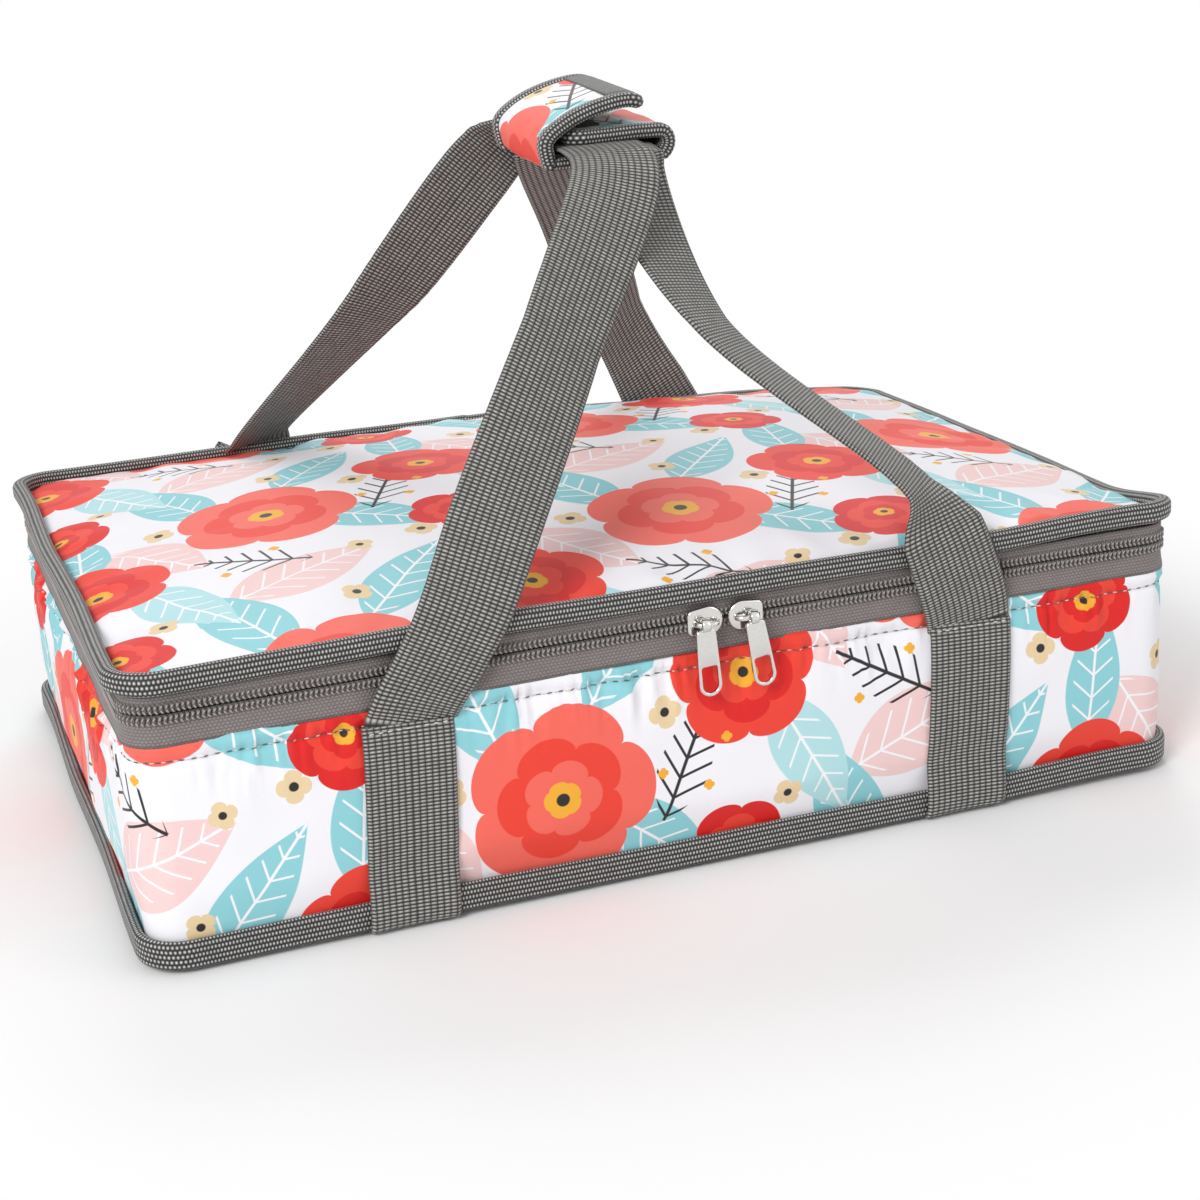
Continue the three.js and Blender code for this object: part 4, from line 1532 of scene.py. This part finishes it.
@dataclass(frozen=True)
class Leg:
    """One free leg of a handle, in millimetres and degrees, as the CAD source names it."""

    rise: float
    inward: float
    back: float
    drop: float
    aside: float
    out: float
    mouth_aside: float
    mouth_out: float
    turns: tuple[float, float, float]
    sag: float = 0.0


@dataclass
class Handle:
    """One webbing handle: the length sewn round the box, and the free loop above it."""

    # Reaches and heights of the CAD source, in millimetres.
    WALL, EDGE, GRIP_END = 142.2, 146.9, 33
    FOOT, TAPE, LID_LOW, LID = 80.8, 88.3, 107.0, 115.5
    SEWN_TOP = 80.4
    COLUMNS = 260

    side: str
    body: Body
    box: SoftBox
    anchor: float
    grip_x: float
    grip_z: float
    layer_out: float
    front: Leg
    back: Leg
    width: float = 34 * MM
    thickness: float = 1.8 * MM
    proud: float = 1.2 * MM
    bend: tuple[float, float] = (0.0815, 0.1245)

    def leg_points(self, leg: Leg) -> list[Vector]:
        """Give the route of one leg on the back side, from its stitches to the middle of the grip.

        Args:
            leg: The leg's sizes.

        Returns:
            The points, in metres.
        """
        clear, mouth_drop, lip = 4, 9, 1.6
        below, above = self.LID_LOW - clear, self.LID + clear
        inward = math.copysign(leg.inward, self.anchor - self.grip_x)
        shoulder_x, shoulder_z = self.anchor - inward, self.LID + leg.rise
        lean = (shoulder_x - self.anchor) / (shoulder_z - self.FOOT)
        end = self.GRIP_END + self.layer_out
        points = [
            (self.anchor, self.WALL - 0.9, self.FOOT - 3),
            (self.anchor + lean * (self.TAPE - self.FOOT), self.WALL + 2, self.TAPE),
            (self.anchor + lean * (below - self.FOOT), self.EDGE, below),
            (self.anchor + lean * (above - self.FOOT), self.EDGE, above),
            (shoulder_x, self.EDGE - leg.back, shoulder_z),
            (self.grip_x + leg.aside, end + leg.out, self.grip_z - leg.drop),
            (self.grip_x + leg.mouth_aside, end + leg.mouth_out, self.grip_z - mouth_drop),
            (self.grip_x, end + clear, self.grip_z - lip),
            (self.grip_x, end - clear, self.grip_z),
            (self.grip_x, end / 2, self.grip_z),
        ]
        return [Vector(point) * MM for point in points]

    def route(self) -> Route:
        """Lay the whole free loop: up the front leg, through the wrap and down the back one.

        Returns:
            The line of the webbing's middle.
        """
        front = [Vector((point.x, -point.y, point.z)) for point in self.leg_points(self.front)]
        back = self.leg_points(self.back)
        # The points up to the shoulder follow the box as it sinks.
        for leg, sag in ((front, self.front.sag), (back, self.back.sag)):
            leg[:5] = [settle(point) for point in leg[:5]]
            leg[3].z -= sag * MM
            leg[4].z -= sag * MM
        turns = []
        for leg, way in ((self.front, 1), (self.back, -1)):
            shoulder, middle, mouth = (way * math.radians(turn) for turn in leg.turns)
            turns.append([0.0, 0.0, 0.0, 0.0, shoulder, middle, mouth, 0.0, 0.0, 0.0])
        return Route([*front, *reversed(back)], [*turns[0], *reversed(turns[1])])

    def strap(self, route: Route, upright: bool) -> Mesh:
        """Sweep flat webbing along a route.

        Args:
            route: The line of its middle.
            upright: Whether its two ends stand straight up.

        Returns:
            The webbing, capped.
        """
        length = route.length()
        frames = []
        for column in range(self.COLUMNS + 1):
            point, along, turn = route.stop(length * column / self.COLUMNS)
            if upright and column in (0, self.COLUMNS):
                along = UPWARDS if column == 0 else -UPWARDS
            side = (SIDEWAYS - along * SIDEWAYS.dot(along)).normalized()
            side.rotate(Matrix.Rotation(turn, 3, along))
            frames.append((point, side, along.cross(side)))

        def lay(column: int, edge: Vector) -> Vector:
            """Lay a point of the webbing, cupped a little across its width."""
            point, side, face = frames[column]
            ends = min(column, self.COLUMNS - column) / self.COLUMNS
            share = edge.x / (self.width / 2)
            cup = 0.5 * MM * (share**2 - 0.4) * ease(ends, 0.0, 0.08)
            return point + side * edge.x + face * (edge.y + cup)

        section = Plan(self.width / 2, self.thickness / 2, 0.8 * MM).section(36)
        return sweep(section, self.COLUMNS, length, lay)

    def walls(self) -> list[tuple[int, float]]:
        """Give the way out and the place along the outline of the front wall and of the back wall."""
        x = self.anchor * MM
        return [(-1, self.box.plan.length() / 2 + x), (1, -x)]

    def reach(self, run: float, height: float) -> float:
        """Give how far out the middle of the sewn webbing is, on a wall."""
        return self.box.plan.half_y + max(self.box.wall(run, height), 0.0) + self.proud

    def build_sewn(self) -> None:
        """Build the sewn length: down the front wall, under the base and up the back."""
        x = self.anchor * MM
        lean = 4 * MM
        edge = self.box.plan.half_y + 4 * MM
        bulge = edge + self.proud + 0.3 * MM
        # Over the base binding and under it, as the reach and the height in millimetres.
        turned = [(edge + 0.7 * MM, 17), (bulge, 11), (bulge, 6)]
        turned += [(edge + 0.3 * MM, 2.9), (edge - 3 * MM, 1.5)]
        halves = []
        for way, run in self.walls():
            heights = (self.SEWN_TOP, 76, 70, 62, 50, 36, 24)
            spots = [(self.reach(run, height * MM), height) for height in heights]
            line = []
            for y, height in [*spots, *turned]:
                drift = lean * (1 - height / self.SEWN_TOP) if way < 0 else 0.0
                line.append(settle(Vector((x - drift, way * y, height * MM))))
            halves.append(line)
        under = [Vector((x - lean * (0.5 - y / 300), y * MM, 1.45 * MM)) for y in (-110, -40, 40, 110)]
        mesh = self.strap(Route([*halves[0], *under, *reversed(halves[1])]), False)
        node = f"{self.side}_sewn_strap"
        make_piece(mesh, f"{self.side}_strap_sewn_length", WEBBING, Body.CARRIER, Slot.WEBBING, [node])

    def build_free(self) -> None:
        """Build the free loop, from the box up to its handle above the stitches."""
        mesh = self.strap(self.route(), True)
        node = f"{self.side}_handle_webbing"
        piece = make_piece(mesh, f"{self.side}_handle_loop", WEBBING, None, Slot.WEBBING, [node])
        start, end = (Vector((self.anchor * MM, 0, height)) for height in self.bend)
        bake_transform(piece)

    def build_bar_tack(self) -> None:
        """Sew the rows of thread that end the sewn length, front and back."""
        pitch, margin, height = 3.4 * MM, 3 * MM, 78.6 * MM
        count = int((self.width - margin) / pitch)
        places = []
        for way, run in self.walls():
            face = self.reach(run, height) + self.thickness / 2
            for stitch in range(count):
                x = self.anchor * MM + pitch * (stitch - (count - 1) / 2)
                places.append((settle(Vector((x, way * face, height))), SIDEWAYS, Vector((0, way, 0))))
        row = beads(places, Vector((1.1, 0.28, 0.28)) * MM, 6, 5)
        make_piece(row, f"{self.side}_strap_stitches", THREAD, Body.CARRIER, Slot.TAPE)

    def build(self) -> None:
        """Build the whole handle."""
        self.build_sewn()
        self.build_free()
        self.build_bar_tack()


@dataclass
class Flap:
    """One padded flap of the grip wrap, with the binding round its three free edges."""

    side: str
    body: Body
    points: Sequence[tuple[float, float]]
    lined: float = -1.0
    tab: float = 0.0
    half_length: float = 33 * MM
    binding: float = 8 * MM
    pad: float = 4 * MM
    print_origin: tuple[float, float] = (0.052, 0.045)

    def __post_init__(self) -> None:
        """Lay the flap's middle line across the grip."""
        self.route = Route([Vector((x, 0, z)) * MM for x, z in self.points])

    def surface(self, run: float, along_y: float, lift: float) -> Vector:
        """Give a point of the flap.

        Args:
            run: How far along its middle line the point is.
            along_y: Its place along the grip.
            lift: How far it stands off the middle line, outwards.

        Returns:
            The point.
        """
        point, along, _ = self.route.stop(run)
        face = Vector((-along.z, 0, along.x))
        return point + face * lift + Vector((0, along_y, 0))

    def inside(self, lap: float) -> tuple[float, float]:
        """Give half the width and the length inside the binding, with a lap under it."""
        return self.half_length - self.binding + lap, self.route.length() - self.binding + lap

    @staticmethod
    def plump(share: float) -> float:
        """Give how much thicker the pad is at a share of its half width than at its sides."""
        return 1 + 0.22 * (1 - share**2)

    @staticmethod
    def slack(along_y: float, run: float) -> float:
        """Give how far the padding wanders off the middle line."""
        return 0.25 * MM * ripple(along_y, run, 14 * MM, Seed.FLAP)

    def build_pad(self) -> None:
        """Build the printed pad, plump between its bindings."""
        half, end = self.inside(1.2 * MM)
        section = Plan(half, self.pad / 2, 1.7 * MM).section(56)
        columns = 56

        def lay(column: int, edge: Vector) -> Vector:
            """Lay a point of the pad along the flap."""
            run = end * column / columns
            lift = edge.y * self.plump(edge.x / half) + self.slack(edge.x, run)
            return self.surface(run, edge.x, lift)

        def chart(column: int, row: int) -> tuple[float, float]:
            """Chart the pad by its run and width."""
            along, across = self.print_origin
            return end * column / columns + along, section[row][0].x + across

        mesh = sweep(section, columns, end, lay, chart)
        node = f"grip_{self.side}_flap"
        piece = make_piece(mesh, f"{self.side}_flap_pad", PRINT, self.body, Slot.PRINT, [node])

    def build_lining(self) -> None:
        """Build the plain grey cloth that lines the flap."""
        half, end = self.inside(1 * MM)
        columns, rows = 48, 16
        gap = 0.35 * MM

        def place(column: int, row: int) -> Vector:
            """Lay a corner of the lining on the pad's inner side."""
            run, share = end * column / columns, 2 * row / rows - 1
            off = self.pad / 2 * self.plump(share) + gap
            return self.surface(run, share * half, self.lined * off + self.slack(share * half, run))

        def chart(column: int, row: int) -> tuple[float, float]:
            """Chart the lining flat."""
            return end * column / columns, 2 * half * row / rows

        mesh = lattice(columns, rows, place, chart)
        piece = make_piece(mesh, f"{self.side}_flap_lining", FACING, self.body, Slot.WEBBING)

    def build_binding(self) -> None:
        """Build the binding as one roll round the free edges."""
        inset = self.binding / 2
        border = Plan(self.route.length() - inset, self.half_length - inset, 3.5 * MM)
        section = Plan(inset, self.pad / 2 + 0.8 * MM, 2.6 * MM).section(18)
        columns = 150
        total = border.length()

        def lay(column: int, edge: Vector) -> Vector:
            """Lay a point of the binding round the edge."""
            flat, normal = border.at(total * (0.5 + 0.5 * column / columns) - MERGE)
            return self.surface(flat.x + normal.x * edge.x, flat.y + normal.y * edge.x, edge.y)

        mesh = sweep(section, columns, total / 2, lay)
        node = f"{self.side}_flap_binding"
        make_piece(mesh, f"{self.side}_flap_edge", BINDING, self.body, Slot.WEBBING, [node])

    def build_tab(self) -> None:
        """Build the plain tab that ends the flap, folded over its edge and closed down at its end."""
        half = self.inside(1.6 * MM)[0]
        end = self.route.length() + 0.3 * MM
        section = Plan(half, self.pad / 2 + 0.95 * MM, 1.6 * MM).section(48)
        columns = 14

        def lay(column: int, edge: Vector) -> Vector:
            """Lay a point of the tab."""
            share = column / columns
            close = 1 - 0.55 * ease(share, 0.72, 1.0)
            return self.surface(end - self.tab * (1 - share), edge.x, edge.y * close)

        def chart(column: int, row: int) -> tuple[float, float]:
            """Chart the tab by its run and width."""
            return self.tab * column / columns, section[row][1]

        mesh = sweep(section, columns, self.tab, lay, chart)
        make_piece(mesh, f"{self.side}_flap_tab", FACING, self.body, Slot.WEBBING)

    def build(self) -> None:
        """Build the pad, its lining, its binding and its tab if it has one."""
        self.build_pad()
        self.build_lining()
        self.build_binding()
        if self.tab:
            self.build_tab()


@dataclass
class GripWrap:
    """The padded wrap that holds the two handles together, with its edges in millimetres."""

    left: float = -3.7
    right: float = 38.7
    bottom: float = 248.3
    columns: int = 20

    def pad(self, start: float, end: float, extra: float) -> Mesh:
        """Make a length of the panel under the webbing.

        Args:
            start: Where it starts along the grip.
            end: Where it ends.
            extra: How much thicker it is than the panel, on each side.

        Returns:
            The padded length.
        """
        low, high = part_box("grip_base_panel")
        wide = high.x - low.x
        middle = Vector((0, (start + end) / 2, (low.z + high.z) / 2))

        def lay(column: int, edge: Vector) -> Vector:
            """Lay a point of the pad across the grip."""
            return middle + Vector((low.x + wide * column / self.columns, edge.x, edge.y))

        section = Plan((end - start) / 2, (high.z - low.z) / 2 + extra, 1.8 * MM).section(24)
        return sweep(section, self.columns, wide, lay)

    def build_base(self) -> None:
        """Build the padded panel under the webbing, with a binding on each end."""
        low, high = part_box("grip_base_panel")
        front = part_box("grip_base_binding_front")[0].y
        lap, extra = 1 * MM, 0.12 * MM
        mesh = self.pad(low.y - lap, high.y + lap, 0.0)
        piece = make_piece(mesh, "grip_base_pad", PRINT, Body.RIGHT_HANDLE, Slot.PRINT, ["grip_base_panel"])
        for side, start, end in (("front", front, low.y), ("back", high.y, -front)):
            mesh = self.pad(start, end, extra)
            name, node = f"grip_base_edge_{side}", f"grip_base_binding_{side}"
            make_piece(mesh, name, BINDING, Body.RIGHT_HANDLE, Slot.WEBBING, [node])

    def build(self) -> None:
        """Build the base panel and both flaps."""
        self.build_base()
        mid, inner_z = self.bottom + 2, self.bottom + 11
        top = inner_z + 12.5
        outer = [
            (self.left - 0.3, mid),
            (self.left - 1.3, mid),
            (self.left - 2.6, mid + 4),
            (self.left - 2.6, inner_z),
            (self.left + 6, top - 6),
            (15.5, top - 1.4),
            (28.5, top),
            (self.right - 4, top - 2.4),
        ]
        inner = [
            (self.right + 0.3, mid),
            (self.right + 2.3, mid),
            (self.right + 4.6, mid + 4),
            (self.right + 3.2, inner_z - 1),
            (self.right - 4.6, inner_z),
            (17.5, inner_z),
            (self.left + 5, inner_z),
        ]
        Flap("outer", Body.OUTER_FLAP, outer, tab=15 * MM).build()
        Flap("inner", Body.INNER_FLAP, inner, lined=1.0).build()
        dress("hook_strip", CLOSURE)
        dress("loop_strip", CLOSURE)


@dataclass
class Slider:
    """One zipper slider with its bridge, and the pull that hangs on it."""

    side: str
    body: Body
    pull_body: Body
    nose: float
    lean: float

    @staticmethod
    def tongue(wide: float, narrow: float, top: float, foot: float) -> list[tuple[float, float]]:
        """Give the corners of a tongue: a straight end above and a half round below.

        Args:
            wide: Its half width where the half round starts.
            narrow: Its half width at the straight end.
            top: The level of the straight end.
            foot: The level of the tip.

        Returns:
            The corners in order.
        """
        steps = 16
        corners = [(-narrow, top)]
        for step in range(steps + 1):
            angle = math.pi * (1 + step / steps)
            corners.append((wide * math.cos(angle), foot + wide * (1 + math.sin(angle))))
        return [*corners, (narrow, top)]

    @staticmethod
    def bevel(mesh: Mesh, geom: Sequence[object], radius: float, affect: str, segments: int) -> None:
        """Round off edges or corners.

        Args:
            mesh: The mesh that they belong to.
            geom: The edges or corners.
            radius: How much is rounded off.
            affect: EDGES or VERTICES.
            segments: Steps in the rounding.
        """
        sizes = {"offset": radius, "segments": segments, "profile": 0.5}
        bmesh.ops.bevel(mesh, geom=geom, affect=affect, material=-1, **sizes)

    def outline(self, corners: Sequence[tuple[float, float]], rounding: float) -> Mesh:
        """Make a flat face in X and Z, with its first and last corners rounded.

        Args:
            corners: The corners before rounding.
            rounding: How much of those two corners is rounded off.

        Returns:
            The face.
        """
        mesh = new_mesh()
        verts = [mesh.verts.new((x, 0.0, z)) for x, z in corners]
        bmesh.ops.contextual_create(mesh, geom=verts)
        self.bevel(mesh, [verts[0], verts[-1]], rounding, "VERTICES", 5)
        return mesh

    def plate(self, mesh: Mesh, thickness: float, rounding: float) -> None:
        """Draw a flat face out along Y to a plate, and round its rims.

        Args:
            mesh: The flat face.
            thickness: The plate's thickness.
            rounding: The radius of its rims.
        """
        sharp = 1.0
        drawn = bmesh.ops.extrude_face_region(mesh, geom=list(mesh.faces))
        moved = [item for item in drawn["geom"] if isinstance(item, bmesh.types.BMVert)]
        bmesh.ops.translate(mesh, verts=moved, vec=(0, thickness, 0))
        bmesh.ops.recalc_face_normals(mesh, faces=mesh.faces)
        pairs = [edge for edge in mesh.edges if len(edge.link_faces) == 2]
        self.bevel(mesh, [edge for edge in pairs if edge.calc_face_angle() > sharp], rounding, "EDGES", 3)

    def build_body(self) -> None:
        """Build the slider's cap: a crowned plate with a round nose towards the other slider."""
        node = f"{self.side}_slider_body"
        low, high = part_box(node)
        half_x, half_z = (high.x - low.x) / 2, (high.z - low.z) / 2
        crown = 0.5 * MM
        shape = self.tongue(half_z, half_z * 0.82, half_x, -half_x)
        mesh = self.outline([(-self.nose * z, x) for x, z in shape], 2 * MM)
        self.plate(mesh, high.y - low.y, 0.8 * MM)
        for vert in mesh.verts:
            share = math.hypot(vert.co.x / half_x, vert.co.z / half_z)
            if vert.co.y < crown:
                vert.co.y -= crown * max(1 - share**2, 0.0)
        middle = (low + high) / 2
        bmesh.ops.translate(mesh, verts=mesh.verts, vec=(middle.x, low.y, middle.z))
        make_piece(mesh, f"{self.side}_slider_cap", NICKEL, self.body, Slot.NICKEL, [node])

    def build_bridge(self) -> None:
        """Build the arched bridge that the pull hangs on."""
        node = f"{self.side}_slider_bridge"
        low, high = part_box(node)
        middle = (low + high) / 2
        foot, crest = high.y + 0.4 * MM, low.y + 0.6 * MM
        half = (high.x - low.x) / 2 - 0.6 * MM
        spots = [(-half, foot), (-half * 0.98, foot - 1.6 * MM), (-half * 0.62, crest)]
        spots.append((0, crest - 0.05 * MM))
        spots += [(-x, y) for x, y in reversed(spots[:-1])]
        route = Route([Vector((middle.x + x, y, middle.z)) for x, y in spots])
        columns = 28
        length = route.length()

        def lay(column: int, edge: Vector) -> Vector:
            """Lay a point of the arch, wider at its feet."""
            point, along, _ = route.stop(length * column / columns)
            wide = 1 + 0.6 * abs(2 * column / columns - 1) ** 3
            return point + UPWARDS * (edge.x * wide) + along.cross(UPWARDS) * edge.y

        section = Plan(0.85 * MM, 0.55 * MM, 0.45 * MM).section(12)
        mesh = sweep(section, columns, length, lay)
        make_piece(mesh, f"{self.side}_slider_arch", NICKEL, self.body, Slot.NICKEL, [node])

    def build_tab(self, low: Vector, high: Vector, pivot: Vector) -> Mesh:
        """Make the pull's tab: a tongue with a window.

        Args:
            low: The low corner of the CAD node.
            high: Its high corner.
            pivot: The middle of the eye.

        Returns:
            The tab, leaning as it hangs.
        """
        half, foot, rim = (high.x - low.x) / 2, low.z, 1.4 * MM
        neck, thickness = 3.8 * MM, 1.8 * MM
        tab = self.outline(self.tongue(half, neck, pivot.z - 1.6 * MM, foot), 1.6 * MM)
        window = self.tongue(half - rim, half - rim, foot + 11.9 * MM, foot + rim)
        both = join([tab, self.outline(window, 1 * MM)])
        bmesh.ops.delete(both, geom=list(both.faces), context="FACES_ONLY")
        bmesh.ops.bridge_loops(both, edges=list(both.edges))
        self.plate(both, thickness, 0.5 * MM)
        bmesh.ops.translate(both, verts=both.verts, vec=(pivot.x, pivot.y - thickness / 2, 0))
        swing = Matrix.Rotation(math.radians(self.lean), 3, "Y")
        bmesh.ops.rotate(both, verts=both.verts, cent=pivot, matrix=swing)
        return both

    def build_pull(self) -> None:
        """Build the pull: its tab, hung by an eye on the bridge."""
        node = f"{self.side}_pull_tab"
        low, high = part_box(node)
        pivot = Vector(((low.x + high.x) / 2, (low.y + high.y) / 2, high.z - 2.5 * MM))
        tab = self.build_tab(low, high, pivot)
        eye = new_mesh()
        ring = [(-1.7, 1.35), (-1.5, 2.35), (-1.2, 2.5), (1.2, 2.5), (1.5, 2.35), (1.7, 1.35)]
        verts = [eye.verts.new(pivot + Vector((across, 0, out)) * MM) for across, out in ring]
        edges = [eye.edges.new(pair) for pair in zip(verts, [*verts[1:], verts[0]])]
        turn = {"cent": pivot, "axis": SIDEWAYS, "angle": math.tau, "steps": 24, "use_merge": True}
        bmesh.ops.spin(eye, geom=[*verts, *edges], **turn)
        bmesh.ops.recalc_face_normals(eye, faces=eye.faces)
        make_piece(join([tab, eye]), f"{self.side}_pull", NICKEL, self.pull_body, Slot.NICKEL, [node])

    def build(self) -> None:
        """Build the slider and its pull."""
        self.build_body()
        self.build_bridge()
        self.build_pull()


@dataclass(frozen=True)
class Studio:
    """A pale floor, soft light and the photograph's camera."""

    eye: Vector = Vector((-0.2943, -0.9306, 0.4207))
    yaw: float = 18.38
    pitch: float = 20.28
    roll: float = -3.2
    lens: float = 73.84
    sensor: float = 36.0
    floor_half: float = 14.0
    aim: Vector = Vector((0, 0, 0.1))

    def camera(self) -> None:
        """Set up the camera where the photograph was taken."""
        data = bpy.data.cameras.new("camera")
        data.sensor_width = self.sensor
        data.lens = self.lens
        yaw, pitch, roll = (math.radians(angle) for angle in (self.yaw, self.pitch, self.roll))
        level = math.cos(pitch)
        ahead = Vector((math.sin(yaw) * level, math.cos(yaw) * level, -math.sin(pitch)))
        right = Vector((math.cos(yaw), -math.sin(yaw), 0))
        up = right.cross(ahead)
        across = right * math.cos(roll) + up * math.sin(roll)
        upright = up * math.cos(roll) - right * math.sin(roll)
        turn = Matrix((across, upright, -ahead)).transposed().to_4x4()
        camera = bpy.data.objects.new("camera", data)
        camera.matrix_world = Matrix.Translation(self.eye) @ turn
        bpy.context.scene.collection.objects.link(camera)
        bpy.context.scene.camera = camera

    def floor(self) -> None:
        """Lay the plain pale floor."""
        mesh = bmesh.new()
        bmesh.ops.create_grid(mesh, x_segments=2, y_segments=2, size=self.floor_half)
        data = bpy.data.meshes.new("floor")
        mesh.to_mesh(data)
        mesh.free()
        data.materials.append(Paper("matt_paper_floor", "#FAFAFA").material())
        floor = bpy.data.objects.new("floor", data)
        bpy.context.scene.collection.objects.link(floor)

    def lamp(self, name: str, spot: tuple[float, float, float], size: float, power: float) -> None:
        """Hang one soft lamp that faces the carrier.

        Args:
            name: The lamp's name.
            spot: Where it hangs.
            size: The side of its square.
            power: Its power in watts.
        """
        data = bpy.data.lights.new(name, "AREA")
        data.size = size
        data.energy = power
        lamp = bpy.data.objects.new(name, data)
        place = Vector(spot)
        turn = (self.aim - place).to_track_quat("-Z", "Y").to_matrix().to_4x4()
        lamp.matrix_world = Matrix.Translation(place) @ turn
        bpy.context.scene.collection.objects.link(lamp)

    def sky(self) -> None:
        """Light the room evenly, and show it white behind the carrier and in its metal."""
        world = bpy.data.worlds.new("studio")
        world.use_nodes = True
        tree = world.node_tree
        strength = add_node(tree, "MapRange", {"Value": seen(tree), "To Min": 0.5, "To Max": 1.0})
        sockets = {"Color": (1, 1, 1, 1), "Strength": strength.outputs["Result"]}
        connect(tree, tree.nodes["Background"], sockets)
        bpy.context.scene.world = world

    def build(self) -> None:
        """Build the camera, the floor, the lamps and the sky."""
        self.camera()
        self.floor()
        self.lamp("key_lamp", (-1.5, -1.4, 1.5), 0.9, 33.0)
        self.lamp("fill_lamp", (1.6, -1.2, 1.2), 1.4, 6.0)
        self.lamp("back_lamp", (0.4, 1.6, 1.7), 1.2, 14.0)
        self.sky()
        bpy.context.scene.view_settings.view_transform = "Standard"


def handles(box: SoftBox) -> list[Handle]:
    """Give both handles with the sizes of the CAD source.

    Args:
        box: The box that they are sewn to.

    Returns:
        The left handle and the right one.
    """
    left = Handle(
        side="left",
        body=Body.LEFT_HANDLE,
        box=box,
        anchor=LEFT_ANCHOR,
        grip_x=14.5,
        grip_z=255.6,
        layer_out=9.0,
        front=Leg(33, 40, 11, 55, -42, 59, -4, 17, (-5, 20, 0)),
        back=Leg(12, 9.5, 7, 75, -66, 34, -11, 15, (20, 4, 0), sag=9),
    )
    right = Handle(
        side="right",
        body=Body.RIGHT_HANDLE,
        box=box,
        anchor=RIGHT_ANCHOR,
        grip_x=20.5,
        grip_z=253.5,
        layer_out=4.5,
        front=Leg(20, 19, 6.5, 58, 15, 50, 1, 6, (44, 40, 10)),
        back=Leg(38.5, 36, 1.5, 50, 24, 52, 0, 8, (30, 0, 0)),
    )
    return [left, right]


def main() -> None:
    """Build the carrier and its studio."""
    logging.basicConfig(level=logging.INFO, format="%(name)s %(message)s")
    low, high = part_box("body_outer_band")
    plan = Plan(high.x, high.y, 14 * MM)
    Studio().build()
    box = SoftBox(plan, floor=low.z, top=high.z, straps=(LEFT_ANCHOR * MM, RIGHT_ANCHOR * MM))
    box.build()
    Zipper(plan).build()
    Lid(plan).build()
    for handle in handles(box):
        handle.build()
    GripWrap().build()
    Slider("left", Body.LEFT_SLIDER, Body.LEFT_PULL, nose=1.0, lean=-3.0).build()
    Slider("right", Body.RIGHT_SLIDER, Body.RIGHT_PULL, nose=-1.0, lean=-9.0).build()


if __name__ == "__main__":
    main()
